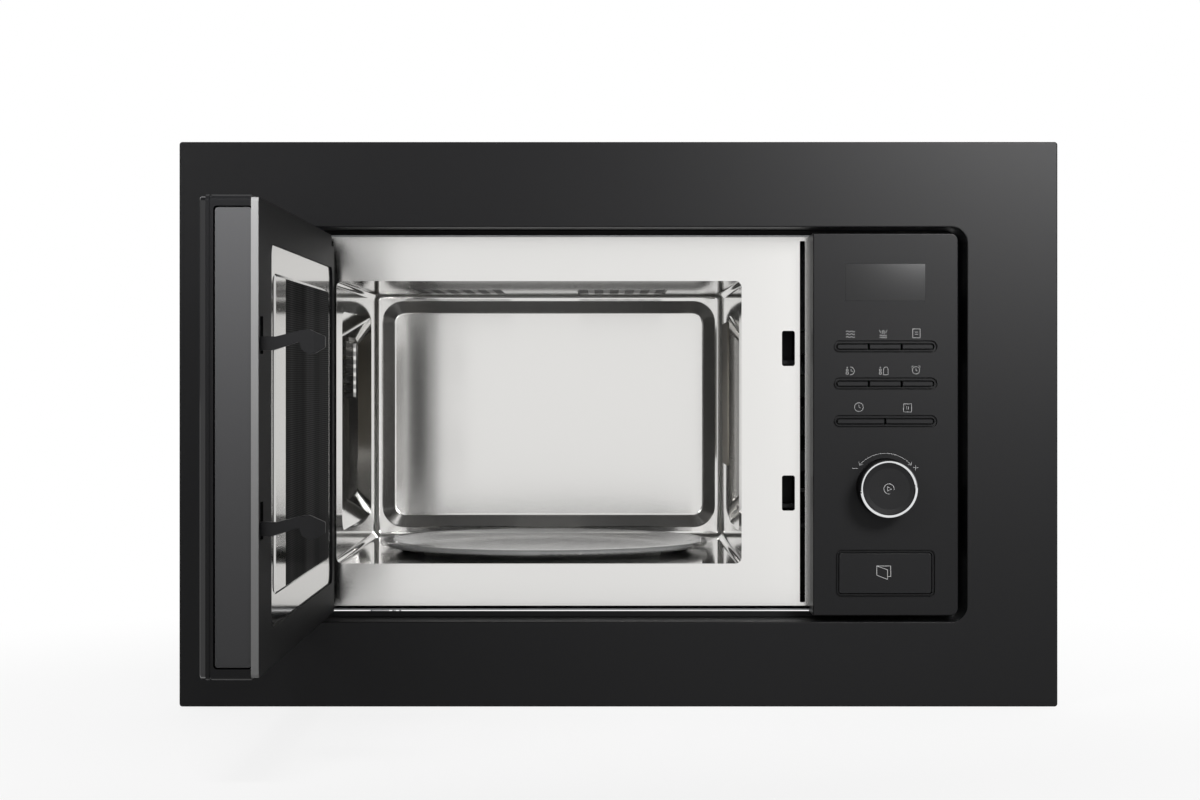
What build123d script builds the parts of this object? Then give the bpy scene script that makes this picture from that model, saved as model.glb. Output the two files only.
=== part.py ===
import math
import os

from build123d import *

# A built-in microwave oven with its door swung open.
# Millimetres, +X right, +Y to the back, +Z up. The origin is on the plane of the
# trim frame's front face, at the middle of the frame's bottom edge.

# Trim frame
frame_border_side = 61.2
frame_border_low = 57.5
frame_border_high = 57.6
frame_corner = 2.0
frame_sheet = 1.5
frame_depth = 20.0
frame_seat_width = 12.0
frame_edge_round = 0.9
window_corner = 11.0
return_depth = 40.0
return_flange = 14.0
return_lip_gap = 0.4

# Oven front inside the window
gap_side = 6.1
gap_level = 4.2
panel_width = 98.1
panel_gap = 1.3
door_depth = 31.4
door_clearance = 1.1

# Casing
rear_gap = 6.5
sheet = 1.0
casing_overlap = 0.5
casing_corner = 4.0
fold_gap = 0.1
screw_head = 2.0
screw_head_radius = 3.6
anchor_hole = 2.25
anchor_spacing = 160.0
gland_radius = 8.0
gland_inset = 26.0
gland_drop = 40.0

# Cavity
cavity_width = 279.6
cavity_height = 195.0
cavity_depth = 288.5
cavity_inset_left = 35.3
cavity_inset_low = 32.5
cavity_inset_high = 31.0
cavity_inset_right = 46.4
cavity_corner = 4.4
cavity_back_round = 3.0
back_panel_border = 4.5
back_panel_corner = 17.0
back_panel_slope = 10.0
back_panel_depth = 7.0
back_panel_round = 2.4
well_radius = 108.0
well_depth = 14.0
pocket_corner = 12.0
pocket_slope = 16.0
pocket_depth = 9.0
pocket_front = 35.0
pocket_rear = 44.5
pocket_drop = 20.0
right_pocket_length = 130.0
vent_pitch = 6.4
vent_hole = 3.6
vent_lap = 4.0
ceiling_pitch = 12.0
ceiling_hole = 7.0

# Turntable drive
glass_radius = 122.5
glass_base_radius = 98.0
glass_thickness = 4.5
glass_rim_width = 9.5
glass_rim_thickness = 4.0
glass_rise = 5.4
roller_radius = 5.7
roller_width = 7.0
roller_circle = 96.0
roller_count = 3
roller_play = 0.3
axle_radius = 1.5
running_gap = 0.05
ring_radius = 86.0
ring_section = 2.4
coupler_radius = 27.0
coupler_hub = 8.0
coupler_arm = 7.0
drive_radius = 3.4
motor_radius = 24.5

# Door
hinge_inset = 12.5
hinge_setback = 8.0
hinge_arm_width = 17.0
hinge_arm_thickness = 2.0
hinge_tail = 62.0
hinge_screws = (46.5, 56.0)
pin_radius = 2.5
pin_length = 12.0
door_pane = 3.2
door_pane_inset = 0.9
door_corner = 3.0
door_wall = 2.6
door_bezel = 12.0
cover_thickness = 3.9
cover_inset = 1.2
cover_hinge_inset = 7.7
cover_window_left = 17.0
cover_window_right = 50.3
cover_window_low = 22.0
cover_window_high = 23.0
cover_window_corner = 8.0
cover_lip = 1.2
hinge_relief_width = 15.0
hinge_relief_height = 7.5
edge_strip_front = 7.4
edge_strip_margin = 5.9
edge_strip_recess = 1.2
film_lap = 3.0
film_play = 0.15
film_rise = 1.0
film_panel_low = 6.6
film_panel_high = 7.9
film_panel_right = 22.4
choke_width = 9.0
choke_depth = 12.0
choke_edge = 3.0
screen_margin = 20.0
screen_pitch = 17.0
screen_hole = 10.0

# Door latch
latch_setback = 12.8
hook_spacing = 99.8
hook_drop = 77.5
hook_inner = 3.9
hook_outer = 0.8
hook_nose_cut = 2.1
hook_reach = 33.9
latch_slot_width = 8.9
latch_slot_height = 24.3
latch_travel = 5.0
latch_bar_width = 15.0
latch_bar_thickness = 4.5
latch_play = 0.3
spring_radius = 3.0
spring_length = 22.0
lever_pin = 3.0
lever_drop = 28.0
lever_setback = 10.5

# Control panel
panel_wall = 2.5
panel_corner = 5.0
display_width = 54.1
display_height = 25.0
display_drop = 33.2
display_thickness = 2.0
control_shift = 0.2
row_drops = (76.7, 101.8, 127.2)
row_splits = ((-11.1, 11.1), (-11.1, 11.1), (0.0,))
row_names = (("microwave", "grill", "menu"), ("time_defrost", "weight_defrost", "timer"), ("clock", "stop"))
row_groove_width = 70.4
row_groove_height = 8.6
row_groove_depth = 1.8
row_rim = 1.2
row_slot_inset = 1.9
key_gap = 0.9
key_split = 1.2
key_proud = 0.2
key_length = 6.0
key_flange = 2.0
key_stem_radius = 1.6
key_travel = 0.6
board_depth = 19.0
board_thickness = 1.6
post_radius = 3.0
knob_rise = 86.6
knob_radius = 18.9
knob_ring_radius = 19.15
knob_ring_width = 1.9
knob_ring_depth = 3.0
knob_proud = 22.0
knob_well_radius = 19.8
knob_well_depth = 3.0
knob_travel = 0.6
stem_radius = 2.0
sleeve_radius = 3.0
open_button_width = 62.6
open_button_height = 27.3
open_button_rise = 28.5
open_button_gap = 0.5
open_button_bead = 0.7
open_button_groove = 1.1
open_button_travel = 5.0
open_button_depth = 14.0

# Fan, power parts and plinth
fan_radius = 42.0
fan_rise = 63.8
fan_blades = 7
fan_width = 16.0
guide_setback = 114.0
guide_length = 76.0
guide_drop = 131.2
guide_height = 104.0
guide_depth = 24.0
guide_flange = 8.0
plinth_inset = 30.0
plinth_width = 26.0
plinth_sheet = 1.2
pad_height = 3.0
pad_radius = 9.0

# Places worked out from the sizes above
window_width = 2 * gap_side + cavity_inset_left + cavity_width + cavity_inset_right + panel_width
window_height = 2 * gap_level + cavity_inset_low + cavity_height + cavity_inset_high
window_low = frame_border_low
frame_width = window_width + 2 * frame_border_side
frame_height = frame_border_low + window_height + frame_border_high
front_half = window_width / 2 - gap_side
front_low = window_low + gap_level
front_high = window_low + window_height - gap_level
panel_left = front_half - panel_width
door_left = -front_half
door_right = panel_left - panel_gap
plate_front = door_depth + door_clearance
plate_back = plate_front + sheet
casing_low = front_low - casing_overlap
casing_high = front_high + casing_overlap
cavity_left = -front_half + cavity_inset_left
cavity_right = cavity_left + cavity_width
cavity_low = front_low + cavity_inset_low
cavity_high = cavity_low + cavity_height
cavity_back = plate_back + cavity_depth
casing_back = cavity_back + back_panel_depth + sheet + rear_gap
pocket_length = cavity_depth - pocket_front - pocket_rear
pocket_height = cavity_height - 2 * pocket_drop
cavity_x = (cavity_left + cavity_right) / 2
cavity_y = (plate_back + cavity_back) / 2
well_floor = cavity_low - well_depth
glass_low = well_floor + 2 * (roller_radius + roller_play)
roller_level = well_floor + roller_radius + roller_play
hinge_x = door_left + hinge_inset
hinge_axis = Axis((hinge_x, hinge_setback, 0), (0, 0, 1))
panel_x = (panel_left + front_half) / 2 - control_shift
latch_x = door_right - latch_setback
hook_levels = (front_high - hook_drop, front_high - hook_drop - hook_spacing)
display_level = front_high - display_drop
row_levels = [front_high - drop for drop in row_drops]
knob_level = front_low + knob_rise
open_button_level = front_low + open_button_rise
fan_level = casing_low + fan_rise
guide_front = cavity_back - guide_setback
guide_low = cavity_high - guide_drop
cover_front = door_depth - cover_thickness
fan_x = front_half - sheet - fan_radius - 6
gland_x = front_half - gland_inset
gland_z = casing_high - gland_drop
lever_y = plate_back + lever_setback
lever_z = open_button_level + lever_drop + 1.8
push_left = panel_x - open_button_width / 2 + 2
parts = {}


def span(low_a, high_a, low_b, high_b, radius=0.0):
    """A rectangle between its limits, with rounded corners if a radius is given."""
    width = high_a - low_a
    height = high_b - low_b
    shape = RectangleRounded(width, height, radius) if radius else Rectangle(width, height)
    return Pos((low_a + high_a) / 2, (low_b + high_b) / 2) * shape


def front_slab(sketch, front, back):
    """A sketch seen from the front (X right, Z up), made solid between two depths."""
    plane = Plane(origin=(0, back, 0), x_dir=(1, 0, 0), z_dir=(0, -1, 0))
    return extrude(plane * sketch, amount=back - front)


def side_slab(sketch, left, right):
    """A sketch in depth and height, made solid between two places across the oven."""
    return extrude(Plane.YZ.offset(left) * sketch, amount=right - left)


def level_slab(sketch, low, high):
    """A sketch seen from above, made solid between two levels."""
    return extrude(Plane.XY.offset(low) * sketch, amount=high - low)


def front_disc(x, z, radius, front, back):
    """A round bar along the depth."""
    return front_slab(Pos(x, z) * Circle(radius), front, back)


def post(x, y, radius, low, high):
    """An upright round bar."""
    return level_slab(Pos(x, y) * Circle(radius), low, high)


def turned(points, x, y):
    """A solid of revolution about an upright axis, from points of radius and level."""
    plane = Plane(origin=(x, y, 0), x_dir=(1, 0, 0), z_dir=(0, -1, 0))
    return revolve(plane * make_face(Polyline(*points, close=True)), Axis((x, y, 0), (0, 0, 1)))


def turned_deep(points, x, z):
    """A solid of revolution about an axis along the depth, from points of radius and depth."""
    plane = Plane(origin=(x, 0, z), x_dir=(1, 0, 0), z_dir=(0, 0, 1))
    return revolve(plane * make_face(Polyline(*points, close=True)), Axis((x, 0, z), (0, 1, 0)))


def holes(shape, pitch_a, pitch_b, count_a, count_b, place_a=0.0, place_b=0.0):
    """A grid of one shape repeated, as one sketch."""
    return Sketch() + [Pos(place_a, place_b) * spot * shape
                       for spot in GridLocations(pitch_a, pitch_b, count_a, count_b)]


def swung(part):
    """A door piece, drawn shut, swung open to the photographed place."""
    return part.rotate(hinge_axis, -90)


def trim_frame():
    """Folded sheet frame: face, outer skirt with a turned-in seat, and a deep window return with a lip."""
    half = frame_width / 2
    right = window_width / 2
    top = window_low + window_height

    def outline(inset):
        corner = max(frame_corner - inset, 0.0)
        return span(-half + inset, half - inset, inset, frame_height - inset, corner)

    def window(grow):
        return span(-right - grow, right + grow, window_low - grow, top + grow, window_corner + grow)

    body = front_slab(outline(0) - window(0), 0, frame_sheet)
    body += front_slab(outline(0) - outline(frame_sheet), 0, frame_depth)
    body += front_slab(outline(0) - outline(frame_seat_width), frame_depth - frame_sheet, frame_depth)
    body += front_slab(window(frame_sheet) - window(0), 0, return_depth)
    body += front_slab(window(return_flange) - window(0), return_depth - frame_sheet, return_depth)
    gap = return_lip_gap
    reach = front_half + gap
    casing = span(-reach, reach, casing_low - gap, casing_high + gap)
    arms = span(hinge_x - hinge_arm_width / 2 - 1, hinge_x + hinge_arm_width / 2 + 1, window_low, top)
    body += front_slab(window(0) - casing - arms, return_depth - frame_sheet, return_depth)
    front_edges = body.faces().sort_by(Axis.Y)[0].edges()
    return fillet(front_edges, frame_edge_round)


def frame_brackets():
    """Four angle brackets that carry the frame's return flange on the casing's sides."""
    reach = window_width / 2 + return_flange - frame_sheet
    low = front_low + 40
    rise = 46
    upper = front_high - front_low - 2 * 40 - rise
    angle = Polyline((front_half, return_depth), (reach, return_depth), (reach, return_depth + frame_sheet),
                     (front_half + frame_sheet, return_depth + frame_sheet),
                     (front_half + frame_sheet, return_depth + 36), (front_half, return_depth + 36), close=True)
    right = fillet(level_slab(make_face(angle), low, low + rise).edges().filter_by(Axis.Z).sort_by(Axis.X)[-1:], 0.7)
    pair = [right, Pos(0, 0, upper) * right]
    return Compound([s for p in pair for s in (p, mirror(p, Plane.YZ))])


def outer_casing():
    """Folded wrap over the top and both sides, with louvre slots at the rear of each side."""
    outer = span(-front_half, front_half, casing_low, casing_high)
    outer = fillet(outer.vertices().group_by(Axis.Y)[-1], casing_corner)
    inner = span(-front_half + sheet, front_half - sheet, casing_low - sheet, casing_high - sheet)
    inner = fillet(inner.vertices().group_by(Axis.Y)[-1], casing_corner - sheet)
    wrap = front_slab(outer - inner, plate_back, casing_back)
    slots = holes(SlotOverall(34, 4).rotate(Axis.Z, 90), 9, 48, 9, 2,
                  casing_back - 70, (casing_low + casing_high) / 2 + 40)
    wrap -= side_slab(slots, -front_half - sheet, front_half + sheet)
    return wrap


def rear_cover():
    """Tray-shaped back with a folded rim, vent slots behind the fan and a hole for the cord bush."""
    rim_x = front_half - sheet - fold_gap
    rim_low = casing_low + sheet + fold_gap
    rim_high = casing_high - sheet - fold_gap
    back = front_slab(span(-front_half, front_half, casing_low, casing_high, 2), casing_back, casing_back + sheet)
    rim_outline = span(-rim_x, rim_x, rim_low, rim_high, casing_corner)
    rim_inside = span(-rim_x + sheet, rim_x - sheet, rim_low + sheet, rim_high - sheet, casing_corner - sheet)
    back += front_slab(rim_outline - rim_inside, casing_back - 6, casing_back)
    vents = holes(SlotOverall(62, 4), 70, 8, 1, 9, fan_x, fan_level)
    vents += holes(SlotOverall(40, 4), 52, 8, 4, 3, cavity_x, casing_high - 30)
    vents += Pos(gland_x, gland_z) * Circle(gland_radius)
    vents += Sketch() + [Pos(x, casing_low + 16) * Circle(anchor_hole) for x in (-anchor_spacing / 2, anchor_spacing / 2)]
    return back - front_slab(vents, casing_back - sheet, casing_back + 2 * sheet)



def cord_gland():
    """Flanged bush through the back, where a mains lead would leave."""
    bore = 4.0
    flange = gland_radius + 2.0
    neck = gland_radius - fold_gap
    back = casing_back + sheet
    profile = ((bore, casing_back - 9), (neck, casing_back - 9), (neck, back), (flange, back),
               (flange, back + 1.2), (bore, back + 1.2))
    return turned_deep(profile, gland_x, gland_z)


def base_plate():
    """Floor of the casing: a shallow channel with upturned sides, cooling slots and a service hole."""
    rim = front_half - sheet - fold_gap
    front = plate_back + 9
    section = span(-rim, rim, casing_low, casing_low + 11) - span(-rim + sheet, rim - sheet, casing_low + sheet,
                                                                  casing_low + 12)
    tray = front_slab(section, front, casing_back - 7)
    vents = holes(SlotOverall(44, 4), 52, 9, 1, 8, panel_x, plate_back + 176)
    tray -= level_slab(vents, casing_low - 1, casing_low + 2 * sheet)
    return tray


def plinth_runners():
    """Two folded channels that lift the oven to the middle of the frame, with lightening holes."""
    low = pad_height
    high = casing_low
    inner = front_half - plinth_inset - plinth_width
    outer = front_half - plinth_inset
    start = plate_back + 40
    end = casing_back - 24
    section = span(inner, outer, low, high) - span(inner + plinth_sheet, outer + plinth_sheet, low + plinth_sheet,
                                                   high - plinth_sheet)
    channel = front_slab(section, start, end)
    middle = (start + end) / 2
    windows = holes(RectangleRounded(44, 30, 8), 62, 10, 4, 1, middle, (low + high) / 2)
    channel -= side_slab(windows, inner - 1, inner + 2 * plinth_sheet)
    return Compound([channel, mirror(channel, Plane.YZ)])


def foot_pads():
    """Four rubber pads under the runners, domed towards the shelf."""
    place = front_half - plinth_inset - plinth_width / 2
    profile = ((0, 0), (pad_radius - 1.5, 0), (pad_radius, 1.2), (pad_radius - 0.6, pad_height), (0, pad_height))
    rows = (plate_back + 40 + pad_radius + 6, casing_back - 24 - pad_radius - 6)
    return Compound([turned(profile, side * place, y) for side in (-1, 1) for y in rows])


def front_plate():
    """Stainless face of the oven body: cavity mouth, latch slots, a long edge slot and folded edges."""
    left = -front_half + sheet + 2 * fold_gap
    right = panel_left + 4.4
    low = front_low + 3.5
    high = front_high - 0.6
    outline = span(left, right, low, high, casing_corner)
    inside = span(left + sheet, right + 20, low + sheet, high - sheet, casing_corner - sheet)
    plate = front_slab(outline, plate_front, plate_back)
    plate += front_slab(outline - inside - span(right - 3, right + 1, low - 1, high + 1), plate_back, plate_back + 7)
    mouth = span(cavity_left, cavity_right, cavity_low, cavity_high, cavity_corner)
    slots = Sketch() + [Pos(latch_x, level) * RectangleRounded(latch_slot_width, latch_slot_height, 1.5)
                        for level in hook_levels]
    edge_slot = span(right - 10.6, right - 7.0, low + 2.3, high - 2.8, 0.8)
    return plate - front_slab(mouth + slots + edge_slot, plate_front - 1, plate_back + 1)


def pocket(wall, outward, front, length, grow):
    """Pressed pocket in a side wall: a wide mouth narrowing to a flat floor, grown by a skin."""
    top = cavity_high - pocket_drop
    low = top - pocket_height
    inset = pocket_slope
    mouth = span(front - grow, front + length + grow, low - grow, top + grow, pocket_corner + grow)
    floor = span(front + inset - grow, front + length - inset + grow, low + inset - grow, top - inset + grow,
                 pocket_corner / 2 + grow)
    near = Plane.YZ.offset(wall)
    far = Plane.YZ.offset(wall + outward * (pocket_depth + grow))
    return loft([near * mouth, far * floor])


def back_outline(inset):
    """Outline of the sunk back panel at one depth, drawn in from the back wall's edges."""
    corner = back_panel_corner + back_panel_border - inset * 0.9
    return span(cavity_left + inset, cavity_right - inset, cavity_low + 2 + inset, cavity_high - inset, corner)


def cavity_form(skin):
    """The cooking space grown outwards by a skin: box, sunk back panel, turntable well and pockets."""
    mouth = span(cavity_left - skin, cavity_right + skin, cavity_low - skin, cavity_high + skin, cavity_corner + skin)
    form = front_slab(mouth, plate_back, cavity_back + skin)
    form = fillet(form.faces().sort_by(Axis.Y)[-1].edges(), cavity_back_round + skin)
    lead = 2.0
    flare = lead * back_panel_slope / back_panel_depth
    wide = back_outline(back_panel_border - flare - skin)
    narrow = back_outline(back_panel_border + back_panel_slope - skin)
    rear = cavity_back + back_panel_depth + skin
    panel = loft([depth_plane(cavity_back - lead + skin) * wide, depth_plane(rear) * narrow])
    form += fillet(panel.faces().sort_by(Axis.Y)[-1].edges(), back_panel_round + skin)
    well = post(cavity_x, cavity_y, well_radius + skin, well_floor - skin, cavity_low + 3)
    form += fillet(well.edges().group_by(Axis.Z)[0], 4 + skin)
    start = plate_back + pocket_front
    form += pocket(cavity_left, -1, start, pocket_length, skin)
    form += pocket(cavity_right, 1, start - 6, right_pocket_length, skin)
    return form


def depth_plane(depth):
    """A drawing plane seen from the front at a depth."""
    return Plane(origin=(0, depth, 0), x_dir=(1, 0, 0), z_dir=(0, -1, 0))



def left_vent():
    """Middle and half sizes of the perforated field on the left pocket's floor."""
    middle = plate_back + pocket_front + pocket_length * 0.64
    level = cavity_high - pocket_drop - pocket_slope - 25
    return middle, level, 14, 7


def right_vent():
    middle = plate_back + pocket_front + 50
    level = cavity_high - pocket_drop - pocket_slope - 31
    return middle, level, 7, 9


def ceiling_vents():
    """Middles across the oven of the two perforated fields in the ceiling, and their depth."""
    return (cavity_x - 68, cavity_x + 59), cavity_back - 75, 6, 9



def vent_mouth(field, pitch, hole):
    """The plain opening in the wall that shows a perforated field."""
    middle, level, columns, rows = field
    width = (columns - 1) * pitch + hole + 2
    height = (rows - 1) * pitch + hole + 2
    return Pos(middle, level) * RectangleRounded(width, height, 2)


def cavity_liner():
    """Pressed stainless liner of the cooking space, one sheet thick."""
    liner = cavity_form(sheet) - cavity_form(0)
    floor_left = cavity_left - pocket_depth
    floor_right = cavity_right + pocket_depth
    liner -= side_slab(vent_mouth(left_vent(), vent_pitch, vent_hole), floor_left - 2 * sheet, floor_left + sheet)
    liner -= side_slab(vent_mouth(right_vent(), vent_pitch, vent_hole), floor_right - sheet, floor_right + 2 * sheet)
    middles, depth, columns, rows = ceiling_vents()
    for middle in middles:
        field = vent_mouth((middle, depth, columns, rows), ceiling_pitch, ceiling_hole)
        liner -= level_slab(field, cavity_high - sheet, cavity_high + 2 * sheet)
    liner -= post(cavity_x, cavity_y, drive_radius + 1.6, well_floor - 2 * sheet, well_floor + sheet)
    liner -= side_slab(guide_mouth(), cavity_right - sheet, cavity_right + 2 * sheet)
    return liner


def perforated(field, pitch, hole):
    """A perforated sheet drawn flat: its outline less a grid of square holes."""
    middle, level, columns, rows = field
    width = (columns - 1) * pitch + hole + 2 + 2 * vent_lap
    height = (rows - 1) * pitch + hole + 2 + 2 * vent_lap
    blank = Pos(middle, level) * RectangleRounded(width, height, 2)
    return blank - holes(Rectangle(hole, hole), pitch, pitch, columns, rows, middle, level)


def vent_screens():
    """Perforated sheets welded behind the openings in the liner's pockets and ceiling."""
    face = cavity_left - pocket_depth - sheet
    parts["left_vent_screen"] = side_slab(perforated(left_vent(), vent_pitch, vent_hole), face - 0.6, face)
    face = cavity_right + pocket_depth + sheet
    parts["right_vent_screen"] = side_slab(perforated(right_vent(), vent_pitch, vent_hole), face, face + 0.6)
    middles, depth, columns, rows = ceiling_vents()
    face = cavity_high + sheet
    parts["ceiling_screens"] = Compound([
        level_slab(perforated((middle, depth, columns, rows), ceiling_pitch, ceiling_hole), face, face + 0.6)
        for middle in middles])



def guide_mouth(grow=0.0):
    """Where the waveguide opens through the right wall."""
    return span(guide_front - grow, guide_front + guide_length + grow, guide_low - grow,
                guide_low + guide_height + grow, 5)


def waveguide():
    """Sheet duct between the magnetron and the right wall, with a welding flange and an antenna hole."""
    wall = cavity_right + sheet
    duct = side_slab(guide_mouth(sheet), wall, wall + guide_depth)
    duct = fillet(duct.faces().sort_by(Axis.X)[-1].edges(), 3)
    duct -= side_slab(guide_mouth(), wall - 1, wall + guide_depth - sheet)
    duct += side_slab(guide_mouth(guide_flange) - guide_mouth(), wall, wall + sheet)
    return duct - side_slab(Pos(*antenna_place()) * Circle(11), wall, wall + guide_depth + 1)


def antenna_place():
    """Depth and level of the magnetron's antenna."""
    return guide_front + guide_length / 2, guide_low + guide_height - 34


def waveguide_cover():
    """Mica sheet over the waveguide's mouth, standing on the wall inside the cavity."""
    return side_slab(guide_mouth(3), cavity_right - 0.6, cavity_right)


def magnetron():
    """Yoke, cooling fins on a round anode, antenna cap and filter box."""
    depth, level = antenna_place()
    face = cavity_right + sheet + guide_depth
    half = 40
    yoke = span(face, face + 72, level - 30, level + 30) - span(face + 2, face + 70, level - 28, level + 28)
    body = front_slab(yoke, depth - half, depth + half)
    body += side_slab(Pos(depth, level) * Circle(19), face, face + 72)
    for i in range(7):
        fin = Pos(depth, level) * Rectangle(2 * half - 6, 54)
        body += side_slab(fin, face + 10 + 8 * i, face + 11 + 8 * i)
    body += side_slab(Pos(depth, level) * Rectangle(62, 50), face + 72, face + 92)
    cap = side_slab(Pos(depth, level) * Circle(8), face - 16, face)
    body += fillet(cap.edges().sort_by(Axis.X)[0], 3)
    return body


def hv_transformer():
    """Laminated core with two coils, on its foot plate."""
    x = panel_x - 20
    y = plate_back + 138.5
    floor = casing_low + sheet
    core = front_slab(Pos(x, floor + 39) * RectangleRounded(92, 74, 2), y - 28, y + 28)
    core -= front_slab(holes(Rectangle(16, 44), 46, 10, 2, 1, x, floor + 39), y - 30, y + 30)
    coil = Pos(x, floor + 39) * (RectangleRounded(58, 42, 8) - Rectangle(28, 30))
    body = core + front_slab(coil, y - 44, y + 44)
    body += level_slab(Pos(x, y) * RectangleRounded(100, 64, 4), floor, floor + 2.0)
    return body


def hv_capacitor():
    """Flat-sided can lying beside the cavity with two tabs."""
    x = cavity_right + 34
    floor = casing_low + sheet
    front = casing_back - 100.5
    can = front_slab(Pos(x, floor + 26) * SlotOverall(52, 32).rotate(Axis.Z, 90), front, casing_back - 14.5)
    can = fillet(can.edges().group_by(Axis.Y)[0], 2)
    for shift in (-10, 10):
        can += front_slab(Pos(x, floor + 26 + shift) * Rectangle(6, 0.8), front - 10, front)
    return can


def fan_duct():
    """Moulded fan shroud: a plate with a bell-mouthed ring, standing on the base."""
    x = fan_x
    back = casing_back - 7.2
    ring_outer = fan_radius + 4.2
    plate = span(x - ring_outer, x + ring_outer, casing_low + sheet, fan_level + ring_outer + 4, 3)
    duct = front_slab(plate - Pos(x, fan_level) * Circle(fan_radius + 2), back - 2.4, back)
    bell = ((fan_radius + 2, back - 26), (fan_radius + 4, back - 26), (fan_radius + 4, back - 6),
            (fan_radius + 4, back), (fan_radius + 2, back))
    duct += turned_deep(bell, x, fan_level)
    arms = Pos(x, fan_level) * Rectangle(2 * fan_radius + 5, 9) - Pos(x, fan_level) * Circle(12)
    duct += front_slab(arms, back - 26, back - 23)
    hub = Pos(x, fan_level) * (Circle(13) - Circle(7.4))
    return duct + front_slab(hub, back - 26, back - 23)


def fan_motor():
    """Shaded-pole motor: lamination frame with its coil, bearing caps and bearing nose."""
    x = fan_x
    front = casing_back - 7.2 - 26 - 30
    back = front + 30
    frame = span(x - 26, x + 26, fan_level - 44, fan_level + 24, 3) - span(x - 14, x + 14, fan_level - 36, fan_level - 22)
    body = front_slab(frame, front + 6, back - 6)
    body += front_slab(Pos(x, fan_level - 29) * RectangleRounded(24, 30, 6), front + 1, back - 1)
    body += front_disc(x, fan_level, 18, front, back)
    body += front_disc(x, fan_level, 7, back, back + 4)
    return body - front_disc(x, fan_level, 2 + running_gap, front + 4, back + 5)


def fan_blade():
    """Axial fan: hub, shaft and twisted blades."""
    x = fan_x
    back = casing_back - 7.2
    front = back - 2 - fan_width
    hub = front_disc(x, fan_level, 11, front, front + fan_width)
    hub = fillet(hub.edges().group_by(Axis.Y)[-1], 3)
    hub += front_disc(x, fan_level, 2, back - 26 - 22, front + 2)
    axis = Axis((x, 0, fan_level), (0, 1, 0))
    root = Plane(origin=(x + 9, front + fan_width / 2, fan_level), x_dir=(0, 1, 0), z_dir=(1, 0, 0))
    tip = Plane(origin=(x + fan_radius - 0.5, front + fan_width / 2, fan_level), x_dir=(0, 1, 0), z_dir=(1, 0, 0))
    blade = loft([root * Rectangle(12, 1.6).rotate(Axis.Z, 50), tip * Rectangle(20, 1.2).rotate(Axis.Z, 62)])
    limit = front_disc(x, fan_level, fan_radius, front, front + fan_width)
    blade = blade & limit
    return hub + [blade.rotate(axis, 360 / fan_blades * i) for i in range(fan_blades)]


def oven_lamp():
    """Small lamp in its socket behind the right-hand vent."""
    depth, level, _, _ = right_vent()
    wall = cavity_right + pocket_depth + sheet + 0.6
    socket = side_slab(Pos(depth, level) * Rectangle(30, 26), wall + 22, wall + 30)
    socket += side_slab(Pos(depth, level + 17) * Rectangle(30, 8), wall, wall + 30)
    bulb = side_slab(Pos(depth, level) * Circle(9), wall + 4, wall + 22)
    return socket + fillet(bulb.edges().sort_by(Axis.X)[0], 7)


def grill_reflector():
    """Sheet pan over the ceiling vents that throws the heat down."""
    middles, depth, columns, rows = ceiling_vents()
    low = cavity_high + sheet
    left = middles[0] - 52
    right = middles[1] + 52
    half = rows * ceiling_pitch / 2 + 8
    outer = span(left, right, depth - half, depth + half, 6)
    inner = span(left + sheet, right - sheet, depth - half + sheet, depth + half - sheet, 5)
    pan = level_slab(outer, low, low + 22) - level_slab(inner, low - 1, low + 22 - sheet)
    flange = span(left - 8, right + 8, depth - half - 3, depth + half + 3, 6)
    pan += level_slab(flange - outer, low, low + sheet)
    for y in grill_rows():
        pan -= side_slab(Pos(y, low + 11) * Circle(5 + running_gap), left - 1, right + 1)
    return pan


def grill_rows():
    """Depths of the two heating tubes."""
    _, depth, _, _ = ceiling_vents()
    return depth - 26, depth + 26


def grill_elements():
    """Two quartz heating tubes with ceramic ends, carried in the reflector's end walls."""
    middles, _, _, _ = ceiling_vents()
    left = middles[0] - 58
    right = middles[1] + 58
    level = cavity_high + sheet + 11
    tubes = []
    for y in grill_rows():
        tube = side_slab(Pos(y, level) * Circle(5), left, right)
        tube += side_slab(Pos(y, level) * RectangleRounded(14, 14, 2), left - 10, left)
        tube += side_slab(Pos(y, level) * RectangleRounded(14, 14, 2), right, right + 10)
        tubes.append(tube)
    return Compound(tubes)


def turntable_motor():
    """Flat geared motor under the well, with two fixing ears and a bearing for the drive."""
    high = well_floor - sheet
    low = high - 14
    body = post(cavity_x, cavity_y, motor_radius, low, high)
    body = fillet(body.edges().group_by(Axis.Z)[0], 2)
    ears = Pos(cavity_x, cavity_y) * (SlotOverall(2 * motor_radius + 20, 14)
                                      - Sketch([Pos(s * (motor_radius + 4), 0) * Circle(2.1) for s in (-1, 1)]))
    body += level_slab(ears, high - sheet, high)
    body += level_slab(Pos(cavity_x + motor_radius - 2, cavity_y - 12) * Rectangle(16, 18), low + 2, high - 2)
    return body - post(cavity_x, cavity_y, drive_radius + running_gap, low + 3, high + 1)


def drive_coupler():
    """Three-armed coupler on the drive shaft, under the glass."""
    high = glass_low - roller_play
    low = well_floor + 2.5
    body = post(cavity_x, cavity_y, coupler_hub, low, high)
    arm = Pos(coupler_radius / 2, 0) * SlotOverall(coupler_radius + coupler_arm, coupler_arm)
    arms = Sketch() + [Pos(cavity_x, cavity_y) * Rot(0, 0, 120 * i + 30) * arm for i in range(3)]
    body += level_slab(arms, high - 5, high)
    body = fillet(body.edges().group_by(Axis.Z)[-1], 1)
    return body + post(cavity_x, cavity_y, drive_radius, well_floor - sheet - 9, low)


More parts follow.
